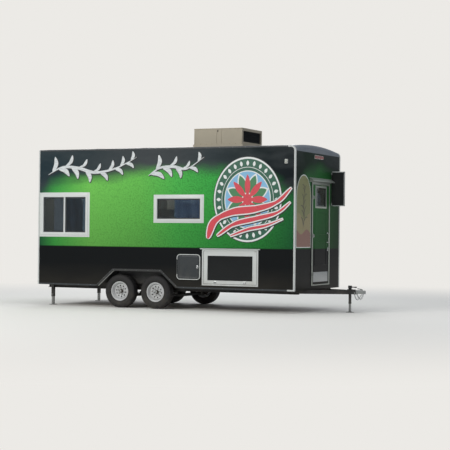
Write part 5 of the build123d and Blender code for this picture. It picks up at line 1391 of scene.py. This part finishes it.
coil_alloy = paint(
    "aluminium_coil_fins", "#6d7479", 0.4, metal=0.8, dust="#4d4a44", dust_high=6.0, grain=0.004
)
coil_low, coil_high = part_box("unit_coil")
fin_count, fin_rows = 150, 13
fin_y = np.linspace(coil_low.y + 0.004, coil_high.y - 0.004, fin_count)
fin_z = np.linspace(coil_low.z + 0.004, coil_high.z - 0.004, fin_rows)
wave = 0.002 + 0.0012 * (np.arange(fin_rows) % 2)
fin_x = np.stack([coil_low.x + wave, coil_high.x - wave], 1)
one_fin = np.stack([fin_x, np.zeros((fin_rows, 2)), np.repeat(fin_z[:, None], 2, 1)], -1)
all_fins = one_fin + np.stack([np.zeros(fin_count), fin_y, np.zeros(fin_count)], -1)[:, None, None, :]
fin_faces = grid_quads(fin_rows, 2) + (np.arange(fin_count) * fin_rows * 2)[:, None, None]
coil_parts = [(all_fins.reshape(-1, 3), fin_faces.reshape(-1, 4).tolist())]
coil = piece("coil_fins", coil_parts, coil_alloy, shut=False)
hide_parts("unit_coil")
copper = paint("tarnished_copper_tube", "#7a4a33", 0.42, metal=0.85)
coil_x = (coil_low.x + coil_high.x) / 2
tube_parts = []
for z in np.linspace(coil_low.z + 0.018, coil_high.z - 0.018, 9):
    line = [(coil_x, y, z) for y in np.linspace(coil_low.y + 0.002, coil_high.y - 0.002, 5)]
    tube_parts.append(tube(line, 0.0048))
piece("coil_tubes", tube_parts, copper, angle=60)
guard_parts = []
for y in np.linspace(-0.44, 0.44, 23):
    guard_parts.append(tube([(unit_high.x - 0.006, y, z) for z in np.linspace(3.56, 3.792, 4)], 0.0016, 6))
for z in np.linspace(3.585, 3.767, 4):
    guard_parts.append(tube([(unit_high.x - 0.009, y, z) for y in np.linspace(-0.459, 0.459, 4)], 0.002, 6))
piece("coil_guard", guard_parts, paint("black_coated_guard_wire", "#1c1e1f", 0.45, grain=0.004), angle=60)

# Lamps: moulded acrylic lenses with prism ribs on bases of pale plastic. Red ones face the
# rear, the forward side markers are clear, and a long identification bar in a pale surround is
# screwed to the front wall under the roof roll.
def lens_material(name, colour):
    """Coloured acrylic: clear gloss over a deep colour, with prism ribs moulded inside it, drawn
    as waves 8 mm apart."""
    made, add, shader, place = fresh(name)
    ribs = add(
        "TexWave", {"Vector": place, "Scale": 40.0, "Distortion": 0.0}, bands_direction="Z"
    ).outputs["Fac"]
    deep = add("VectorMath", {0: linear(colour)[:3], "Scale": 0.55}, operation="SCALE")
    lit = add("Mix", {0: ribs, 6: deep, 7: colour}, data_type="RGBA")
    relief = add("Bump", {"Height": ribs, "Strength": 0.25, "Distance": 0.001})
    wire(
        shader,
        {"Base Color": lit, "Normal": relief, "Roughness": 0.22, "Coat Weight": 0.6, "Coat Roughness": 0.04},
    )
    wire(shader, {"Subsurface Weight": 0.15, "Subsurface Radius": (0.01, 0.005, 0.004)})
    return made


red_lens = lens_material("red_acrylic_lens", "#94302c")
clear_lens = lens_material("clear_acrylic_lens", "#c3c6bd")
lamp_base = paint("pale_grey_lamp_housing_plastic", "#c9cbc8", 0.42, dust_high=3.6, bump=0.04, grain=0.004)


def lamp(across, up, half_x, half_z, corner, rim, wall, tall=0.0215):
    """A lamp on a wall as two skins: a flat base plate with a raised rim, and a domed lens that
    rises inside it. Each is a rounded outline drawn in as it rises."""
    base_levels = ((0.0, 0.0), (0.0, 0.32), (0.12, 0.42), (0.75, 0.42), (1.0, 0.34), (1.0, 0.2))
    lens_levels = ((0.0, 0.15), (0.0, 0.62), (0.1, 0.8), (0.32, 0.93), (0.7, 1.0), (1.2, 1.0))
    base_steps = [(drawn * rim, rise * tall) for drawn, rise in base_levels]
    lens_steps = [(drawn * tall * 0.5, rise * tall) for drawn, rise in lens_levels]
    base = stacked(base_steps, half_x, half_z, corner, follow=0.6, least=0.002)
    lens = stacked(lens_steps, half_x - rim, half_z - rim, corner - rim * 0.6, follow=0.4, least=0.002)
    return [stood(part, wall, (across, up, 0.0)) for part in (base, lens)]


lamp_rows = (
    ("right", (front_x - 0.199,), 3.08, (0.035, 0.045, 0.012, 0.007)),
    ("left", (front_x - 0.199,), 3.08, (0.035, 0.045, 0.012, 0.007)),
    ("rear", (-1.08, 1.08), 0.76, (0.055, 0.055, 0.0549, 0.009)),
    ("rear", (-1.08, -0.22, 0.0, 0.22, 1.08), 3.18, (0.05, 0.02, 0.009, 0.005)),
    ("front", (0.0,), 3.225, (0.24, 0.038, 0.01, 0.008)),
)
base_parts, clear_parts, red_parts = [], [], []
for wall, places, up, sizes in lamp_rows:
    for across in places:
        base, lens = lamp(across, up, *sizes, wall)
        base_parts.append(base)
        lens_parts = clear_parts if wall in ("right", "left") else red_parts
        lens_parts.append(lens)
bases = piece("lamp_bases", base_parts, lamp_base)
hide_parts("lamps")
lenses = piece("lamp_lenses_red", red_parts, red_lens)
piece("lamp_lenses_clear", clear_parts, clear_lens)

# Left side: the service opening's frame, its top-hung hatch with a bright edge, stiffeners and
# two latches, and a stainless shelf that hangs folded below it.
brushed_steel, add, shader, place = fresh("brushed_stainless_steel")
# Soft grey shine with long brush hairs. They are finer than 0.1 mm and drawn 2.5 mm wide, to show.
drawn = add("Mapping", {"Vector": place, "Scale": (3.0, 3.0, 3.0)})
stretched = add("Mapping", {"Vector": place, "Scale": (4.0, 400.0, 400.0)})
hairs = add("TexNoise", {"Vector": stretched, "Scale": 1.0, "Detail": 4.0})
cloud = add("TexNoise", {"Vector": drawn, "Scale": 1.5, "Detail": 5.0})
shade = add("MapRange", {"Value": cloud, "From": (0.3, 0.7), "To": (0.92, 1.06)})
tinted = add("VectorMath", {0: linear("#b9bbba")[:3], "Scale": shade}, operation="SCALE")
rough = add("MapRange", {"Value": hairs, "To": (0.24, 0.44)})
relief = add("Bump", {"Height": hairs, "Strength": 0.08, "Distance": 0.0003})
wire(shader, {"Base Color": tinted, "Roughness": rough, "Normal": relief, "Metallic": 0.95})
dress(brushed_steel, "service_shelf", "benches", "range_hood", "wall_shelf")
dress(wrap_hatch, "service_hatch")
hatch_low, hatch_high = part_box("service_hatch")
opening = (hatch_low.x, hatch_high.x, hatch_low.z, 2.358)
edging = [
    (-0.03, 0.007), (-0.03, 0.0095), (-0.027, 0.0112), (-0.01, 0.0112), (-0.007, 0.0095), (-0.007, 0.007)
]
piece("service_hatch_edging", [mitred(opening, edging, "left")], door_alloy, "service_hatch", angle=30)
inner_strip = [(-0.033, 0.001), (-0.033, -0.002), (-0.003, -0.002), (-0.003, 0.001)]
leaf_span = (hatch_low.x, hatch_high.x, hatch_low.z, hatch_high.z)
stiffener_parts = [mitred(leaf_span, inner_strip, "left", hatch_low.y - side_y)]
for share in (1 / 3, 2 / 3):
    x = hatch_low.x + (hatch_high.x - hatch_low.x) * share
    strip_low = (x - 0.03, hatch_low.y - 0.0065, hatch_low.z + 0.034)
    stiffener_parts.append(block(strip_low, (x + 0.03, hatch_low.y + 0.001, hatch_high.z - 0.034)))
piece("service_hatch_stiffeners", stiffener_parts, door_alloy, "service_hatch", angle=30)
service_latches = []
for x in (opening[0] + 0.35, opening[1] - 0.35):
    service_latches += slam_latch(x, opening[2] + 0.075, leaf_face, "left")
piece("service_latches", service_latches, latch_chrome, "service_hatch", angle=40)
frame_low, frame_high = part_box("service_frame")
level_run = (frame_low.x + 0.03, frame_high.x - 0.03, 0.24)
service_screws = border((-0.273, 1.597, 1.465, 2.415), level_run, (1.56, 2.34, 0.2), 0.012)
screws("service_frame_screws", service_screws, "left")
shelf_low, shelf_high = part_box("service_shelf")
hem = [(-0.02, -0.001), (-0.02, 0.0002), (-0.016, 0.0009), (-0.004, 0.0009), (0.0, 0.0002), (0.0, -0.001)]
hem_spans = (
    (shelf_low.x, shelf_high.x, shelf_low.z, shelf_high.z - 0.02),
    (shelf_low.x + 0.12, shelf_high.x - 0.12, shelf_low.z + 0.09, shelf_high.z - 0.11),
)
shelf_parts = [mitred(span, hem, "left", shelf_high.y - side_y) for span in hem_spans]
piece("service_shelf_hems", shelf_parts, brushed_steel, "service_shelf", angle=30)

# Rear wall: a blank number plate on a pressed holder with a small lamp over it, and a shore power
# inlet with a sprung lid, low down.
plate_white = paint("white_reflective_plate_sheet", "#d6d8d4", 0.3, dust_high=1.4, coat=0.2)
holder = wall_block((-0.5, 0.64, 0.0), (-0.18, 0.81, 0.005), "rear", corner=0.012)
piece("plate_holder", [holder], arch_black, angle=40)
blank_plate = wall_block((-0.4925, 0.6475, 0.004), (-0.1875, 0.8025, 0.0068), "rear", 0.0008, 0.01)
piece("blank_plate", [blank_plate], plate_white, angle=40)
screws("plate_screws", [(y, 0.785, 0.0068) for y in (-0.43, -0.25)], "rear", 0.0055, 0.0025)
piece("plate_lamp", lamp(-0.34, 0.838, 0.04, 0.014, 0.008, 0.004, "rear", 0.02), arch_black, angle=40)
inlet_y, inlet_z = 0.62, 0.76
inlet_levels = (
    (0.0, 0.0), (0.0, 0.008), (0.002, 0.011), (0.008, 0.0125), (0.01, 0.017), (0.014, 0.0195),
    (0.04, 0.02),
)
inlet = stacked(inlet_levels, 0.055, 0.065, 0.014, (inlet_y, inlet_z), 6, follow=0.25)
grey_nylon = paint("grey_glass_filled_nylon", "#8d9290", 0.5, dust_high=1.4, grain=0.002)
piece("power_inlet", [stood(inlet, "rear")], grey_nylon, angle=30)
inlet_corners = [
    (inlet_y + across, inlet_z + up, 0.0115) for across in (-0.047, 0.047) for up in (-0.057, 0.057)
]
screws("inlet_screws", inlet_corners, "rear", 0.004, 0.002)

# Hinges: zinc plated steel butts on the entry door, and a long hinge of mill finish aluminium on the
# service hatch. A bright knuckle sleeve goes round each of the solids' knuckles, cut by fine joints,
# so that they read as rolled metal and not as print.
def knuckles(start, end, radius, joint):
    """A run of rolled knuckles from one point to another: a turned sleeve drawn in at each joint,
    the joints a fixed pitch apart."""
    start, end = np.array(start, float), np.array(end, float)
    length = np.linalg.norm(end - start)
    count = max(3, int(round(length / joint)))
    profile = [(radius * 0.55, 0.0)]
    for k in range(count):
        low, high = length * k / count, length * (k + 1) / count
        profile += [
            (radius * 0.86, low + 0.0006), (radius, low + 0.0018), (radius, high - 0.0018),
            (radius * 0.86, high - 0.0006),
        ]
    profile.append((radius * 0.55, length))
    return turned(profile, tuple(start), tuple((end - start) / length), 16)


hinge_y, knuckle_out, knuckle_radius = -0.335, 0.0203, 0.0084
screw_spots = ((0.03, 0.014), (0.03, 0.046), (0.062, 0.014), (0.062, 0.046))
sleeves, plates = [], []
for z in (0.75, 1.55, 2.35):
    foot = (front_x + knuckle_out, hinge_y, z)
    sleeves.append(knuckles(foot, (*foot[:2], z + 0.06), knuckle_radius, 0.02))
    plate_low = (hinge_y + 0.004, z + 0.001, door_face + 0.0048)
    plates.append(wall_block(plate_low, (hinge_y + 0.0825, z + 0.059, door_face + 0.0065), edge=0.0006))
    plates += heads(
        [(hinge_y + y, z + rise, door_face + 0.0065) for y, rise in screw_spots], "front", 0.0042, 0.0018
    )
piece("entry_hinge_leaves", [*sleeves, *plates], zinc_plate, "entry_door", angle=40)
service_x, service_half = body_x(4.215), 0.855
service_axis = (side_y + knuckle_out, 2.395)
service_start = (service_x + service_half, *service_axis)
service_end = (service_x - service_half, *service_axis)
service_low = (service_x - service_half + 0.001, 2.3515, 0.013)
service_high = (service_x + service_half - 0.001, 2.3905, 0.0146)
service_parts = [
    knuckles(service_start, service_end, knuckle_radius, 0.038),
    wall_block(service_low, service_high, "left", 0.0006),
]
piece("service_hinge", service_parts, door_alloy, "service_hatch", angle=40)

# Inside: white lined ceiling with two sealed lamps, a speckled safety floor, brushed stainless
# benches with drawn lines between their doors, a filter hood with its duct, and a wall shelf.
safety_floor, add, shader, place = fresh("speckled_safety_vinyl_on_plywood")
# Dark grey vinyl with flakes of 4 to 5 mm, worn in patches, over plywood with 17 mm wide grain.
flakes = add("TexVoronoi", {"Vector": place, "Scale": 220.0})
flake_shade = add("SeparateColor", {"Color": flakes.outputs["Color"]})
flake_tones = [(0.0, "#3c3f41"), (0.5, "#4b4e50"), (0.85, "#5a5d5e"), (1.0, "#85888a")]
speckle = add("ValToRGB", {"Fac": flake_shade}, flake_tones)
cloud = add("TexNoise", {"Vector": place, "Scale": 2.0, "Detail": 6.0})
worn = add("MapRange", {"Value": cloud, "From": (0.45, 0.75), "To": (0.0, 0.4)})
trodden = add("Mix", {0: worn, 6: speckle, 7: "#6f6a60"}, data_type="RGBA")
facing = add("SeparateXYZ", {"Vector": add("NewGeometry").outputs["Normal"]})
topside = add("Math", {0: facing.outputs["Z"], 1: 0.5}, operation="GREATER_THAN")
grain_place = add("Mapping", {"Vector": place, "Scale": (2.0, 60.0, 60.0)})
grain = add("TexNoise", {"Vector": grain_place, "Scale": 1.0, "Detail": 5.0})
wood = add("ValToRGB", {"Fac": grain}, [(0.3, "#55432e"), (0.7, "#7c6646")])
decked = add("Mix", {0: topside, 6: wood, 7: trodden}, data_type="RGBA")
rough = add("MapRange", {"Value": cloud, "To": (0.45, 0.7)})
relief = add("Bump", {"Height": flake_shade, "Strength": 0.2, "Distance": 0.0008})
wire(shader, {"Base Color": decked, "Roughness": rough, "Normal": relief})
dress(safety_floor, "floor_deck")
galvanised, add, shader, place = fresh("spangled_galvanised_sheet")
# Dull zinc with flat spangles of about 22 mm, each of its own grey.
spangle = add("TexVoronoi", {"Vector": place, "Scale": 45.0})
spangle_shade = add("SeparateColor", {"Color": spangle.outputs["Color"]})
zinc_tone = add("ValToRGB", {"Fac": spangle_shade}, [(0.0, "#85898a"), (1.0, "#aeb1b0")])
rough = add("MapRange", {"Value": spangle_shade.outputs["Green"], "To": (0.34, 0.52)})
wire(shader, {"Base Color": zinc_tone, "Roughness": rough, "Metallic": 0.85})
dress(galvanised, "hatch_liner")

bench_face, front_pitch = 0.645, 0.48
bench_runs = ((-1, body_x(1.45), body_x(3.4)), (1, body_x(0.7), body_x(5.5)))
pull_line = (
    (-1, 0.0, 0.0), (-1, 0.0, 0.02), (-1, 0.008, 0.028), (1, -0.008, 0.028), (1, 0.0, 0.02), (1, 0.0, 0.0)
)
bench_parts, pull_parts = [], []
for side, start, end in bench_runs:
    count = int(round((end - start) / front_pitch))
    edges = np.linspace(start + 0.02, end - 0.02, count + 1)
    for k in range(count):
        left, right = edges[k] + 0.006, edges[k + 1] - 0.006
        near_y, far_y = sorted((side * (bench_face - 0.004), side * (bench_face + 0.01)))
        for low_z, high_z in ((0.7, 1.2), (1.215, 1.345)):
            bench_parts.append(block((left, near_y, low_z), (right, far_y, high_z), 0.003))
        x = (left + right) / 2
        for z, wide in ((1.15, 0.05), (1.29, 0.07)):
            line = [
                (x + end_sign * wide + in_x, side * (bench_face - out), z)
                for end_sign, in_x, out in pull_line
            ]
            pull_parts.append(tube(line, 0.0045, 8))
    near_y, far_y = sorted((side * (inner_y - 0.0145), side * (inner_y - 0.0005)))
    bench_parts.append(block((start + 0.002, near_y, 1.44), (end - 0.002, far_y, 1.56), 0.003))
piece("bench_fronts", bench_parts, brushed_steel, angle=30)
piece("bench_pulls", pull_parts, latch_chrome, angle=60)
hood_low, hood_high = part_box("range_hood")
rim_low, rim_high = hood_low.z + 0.028, hood_low.z + 0.056
filter_parts = []
for k in range(3):
    left = hood_low.x + 0.06 + k * 0.39
    for x in (left + 0.02 + j * 0.042 for j in range(9)):
        slat_low = (x, hood_low.y + 0.12, hood_low.z + 0.035)
        filter_parts.append(block(slat_low, (x + 0.028, hood_high.y - 0.12, hood_low.z + 0.05), 0.003))
    for near_y, far_y in ((hood_low.y + 0.1, hood_low.y + 0.12), (hood_high.y - 0.12, hood_high.y - 0.1)):
        filter_parts.append(block((left, near_y, rim_low), (left + 0.375, far_y, rim_high)))
piece("hood_filters", filter_parts, brushed_steel, angle=30)
ceiling_z = 3.412
duct_levels = (
    (0.0, -0.002), (0.0, 0.004), (0.028, 0.004), (0.028, 0.16), (0.024, 0.162), (0.024, 0.176),
    (0.028, 0.178), (0.028, 0.6), (0.024, 0.602), (0.024, 0.616), (0.028, 0.618),
    (0.028, ceiling_z - 0.04 - hood_high.z),
)
duct_steps = [(drawn, hood_high.z + rise) for drawn, rise in duct_levels]
duct = stacked(duct_steps, 0.21, 0.21, 0.006, ((hood_low.x + hood_high.x) / 2, -0.93), 2, follow=0.0)
piece("hood_duct", [duct], brushed_steel, angle=30)
bow = np.linspace(0, math.pi / 2, 9)
lamp_sizes = [(0.58 - 0.012 * (1 - math.cos(a)), 0.062 * math.cos(a * 0.86), 0.012) for a in bow[:-1]]
lamp_sizes.append((0.56, 0.012, 0.008))
lamp_parts = []
for x in (body_x(1.6), body_x(4.3)):
    rings = []
    for (half_x, half_y, corner), drop in zip(lamp_sizes, 0.07 * np.sin(bow)):
        flat = outline(half_x, half_y, corner) + (x, 0.25)
        rings.append(np.column_stack([flat, np.full(len(flat), ceiling_z - drop)]))
    lamp_parts.append(loft(rings))
opal = paint("opal_polycarbonate_diffuser", "#dfe3e2", 0.35, dust_high=0.2, bump=0.02, coat=0.2, wear=0.02,
             more={"Emission Color": "#fff2dc", "Emission Strength": 12.0})
piece("ceiling_lamps", lamp_parts, opal, angle=50)

# Tongue and coupler: bolted on, with hex-headed bolts and a latch pin, and a pair of zinc plated
# safety chains hung from lugs under the tongue, each hooked back at its end. The jack has a
# turned cap, a grease nipple, a plastic grip on its crank, and a pressed foot.
coupler_low, coupler_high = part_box("coupler")
chain_z, lug_y = 0.398, 0.075


def chain_link(centre, direction, roll, long, wide=0.03, rod=0.0036):
    """One welded link: a stadium-shaped loop of round rod, set along a direction and turned
    about it."""
    direction = np.asarray(direction, float) / np.linalg.norm(direction)
    flat = np.cross(direction, (0.0, 1.0, 0.0))
    flat /= np.linalg.norm(flat)
    across_link = math.cos(roll) * flat + math.sin(roll) * np.cross(direction, flat)
    straight, bend_radius = (long - wide) / 2, wide / 2 - rod
    cosines, sines = circle(24)
    along = cosines * bend_radius + np.sign(cosines) * straight
    line = np.asarray(centre) + along[:, None] * direction + (sines * bend_radius)[:, None] * across_link
    ahead = np.roll(line, -1, 0) - np.roll(line, 1, 0)
    ahead /= np.linalg.norm(ahead, axis=1)[:, None]
    normal = np.cross(direction, across_link)
    inward = np.cross(ahead, normal)
    cosines, sines = circle(6)
    spokes = cosines[:, None] * inward[:, None, :] + sines[:, None] * normal
    return loft(line[:, None, :] + rod * spokes, loop=True)


chain_parts, fitting_parts = [], []
links = 12
hook_turn = np.linspace(-0.6, math.pi * 1.15, 22)
for side in (-1, 1):
    start = np.array([coupler_low.x - 0.03, side * lug_y, chain_z])
    end = np.array([coupler_high.x - 0.075, side * 0.058, chain_z - 0.02])
    share = np.linspace(0, 1, 200)[:, None]
    hang = start + (end - start) * share
    hang[:, 2] -= 0.115 * 4 * share[:, 0] * (1 - share[:, 0])
    hang[:, 1] += side * 0.03 * np.sin(math.pi * share[:, 0])
    gone_by = np.concatenate([[0], np.cumsum(np.linalg.norm(np.diff(hang, axis=0), axis=1))])
    link_ends = np.linspace(0, gone_by[-1], links + 1)
    spots = np.stack([np.interp(link_ends, gone_by, hang[:, k]) for k in range(3)], -1)
    for k in range(links):
        turned_by = (k % 2) * math.pi / 2 + 0.3
        middle_spot, ahead = (spots[k] + spots[k + 1]) / 2, spots[k + 1] - spots[k]
        chain_parts.append(chain_link(middle_spot, ahead, turned_by, gone_by[-1] / links + 0.01))
    lug_low = (coupler_low.x - 0.052, side * lug_y - 0.006, 0.386)
    fitting_parts.append(block(lug_low, (coupler_low.x - 0.014, side * lug_y + 0.006, 0.418), 0.003))
    hook_x, hook_z = end[0] + 0.008 + 0.013 * np.sin(hook_turn), end[2] + 0.004 + 0.013 * np.cos(hook_turn)
    chain_parts.append(tube(np.stack([hook_x, np.full(22, end[1]), hook_z], -1), 0.0045, 8))
piece("safety_chains", chain_parts, zinc_plate, angle=60)
coupler_bolt = [
    (0.011, 0.0), (0.011, 0.002), (0.0095, 0.0022), (0.0095, 0.0085), (0.007, 0.009), (0.0065, 0.0125),
    (0.0008, 0.013),
]
for x in (coupler_low.x + 0.022, coupler_low.x + 0.06):
    for y in (-0.03, 0.03):
        fitting_parts.append(turned(coupler_bolt, (x, y, coupler_high.z - 0.0455), (0, 0, 1), 6))
latch_pin = [
    (0.0085, -0.024), (0.0095, -0.0235), (0.0095, -0.017), (0.006, -0.0165), (0.006, 0.0165), (0.0095, 0.017),
    (0.0095, 0.0235), (0.0085, 0.024),
]
fitting_parts.append(turned(latch_pin, (coupler_high.x - 0.082, 0, coupler_low.z + 0.082), (0, 1, 0), 20))
piece("coupler_fittings", fitting_parts, zinc_plate)

leg_low, leg_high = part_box("jack_leg")
jack_x = (leg_low.x + leg_high.x) / 2
jack_black = paint("black_powder_coated_jack", "#25272a", 0.4, dust_high=0.7, grain=0.004)
dress(jack_black, "jack_tube")
jack_cap = [
    (0.0415, -0.004), (0.0415, 0.004), (0.0408, 0.006), (0.0408, 0.046), (0.039, 0.0515), (0.034, 0.0545),
    (0.018, 0.056), (0.0006, 0.0563),
]
jack_band = [(0.0305, 0.0), (0.0325, 0.001), (0.0325, 0.015), (0.0305, 0.016)]
cap_parts = [
    turned(jack_cap, (jack_x, 0, 0.5), (0, 0, 1)), turned(jack_band, (jack_x, 0, 0.2), (0, 0, 1))
]
piece("jack_cap", cap_parts, jack_black, angle=30)
nipple = [
    (0.0045, 0.0), (0.0045, 0.003), (0.0028, 0.004), (0.0028, 0.008), (0.0036, 0.0095), (0.0022, 0.0125),
    (0.0005, 0.013),
]
piece("jack_nipple", [turned(nipple, (jack_x, 0.04, 0.53), (0, 1, 0), 16)], latch_chrome, angle=40)
grip = [
    (0.0095, 0.003), (0.0125, 0.006), (0.0135, 0.015), (0.0122, 0.03), (0.0132, 0.045), (0.0122, 0.06),
    (0.0132, 0.074), (0.0118, 0.084), (0.0085, 0.0885), (0.0006, 0.0895),
]
black_nylon = paint("black_moulded_nylon_grip", "#191a1b", 0.55, dust_high=0.7, grain=0.002)
piece("jack_grip", [turned(grip, (jack_x + 0.156, -0.07, 0.5275), (0, -1, 0), 36)], black_nylon)
foot_plate = [
    (0.085, 0.0), (0.0852, 0.003), (0.0852, 0.007), (0.0835, 0.0092), (0.06, 0.0098), (0.058, 0.0112),
    (0.04, 0.0125), (0.034, 0.02), (0.0275, 0.022), (0.0252, 0.0265),
]
piece("jack_foot", [turned(foot_plate, (jack_x, 0, 0.0), (0, 0, 1), 64)], zinc_plate, "jack_leg")

# Stabilizers: square tubes bolted to the rails, each leg with a row of holes, a bent pin through
# its tube, and a pressed foot.
foot_levels = ((0.0, 0.0), (0.0, 0.009), (0.002, 0.0108), (0.012, 0.0112), (0.018, 0.0098))
rail_bolt = [(0.0075, -0.001), (0.0075, 0.0045), (0.0058, 0.0052), (0.0055, 0.0085), (0.0007, 0.0088)]
bent_pin = ((-1.1, 0.205), (1.1, 0.205), (1.32, 0.207), (1.42, 0.214), (1.42, 0.25))
pin_parts = []
for side, hand in ((-1, "right"), (1, "left")):
    low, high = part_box("stabilizer_leg_" + hand)
    x, y = (low.x + high.x) / 2, (low.y + high.y) / 2
    hole = [(0.0075, -0.02485), (0.0075, 0.02485)]
    holes = [turned(hole, (x, y, z), (0, 1, 0), 20) for z in (0.06, 0.1, 0.14)]
    piece("stabilizer_holes_" + hand, holes, gasket, "stabilizer_leg_" + hand, angle=60)
    foot = stacked(foot_levels, 0.0652, 0.0652, 0.01, (x, y), 5, follow=0.0)
    piece("stabilizer_foot_" + hand, [foot], zinc_plate, "stabilizer_leg_" + hand)
    pin_parts.append(tube([(x, y + side * 0.033 * reach, z) for reach, z in bent_pin], 0.006, 12))
    for z in (0.24, 0.41):
        for bolt_x in (x - 0.018, x + 0.018):
            pin_parts.append(turned(rail_bolt, (bolt_x, y + side * 0.031, z), (0, side, 0), 6))
piece("stabilizer_pins", pin_parts, zinc_plate)
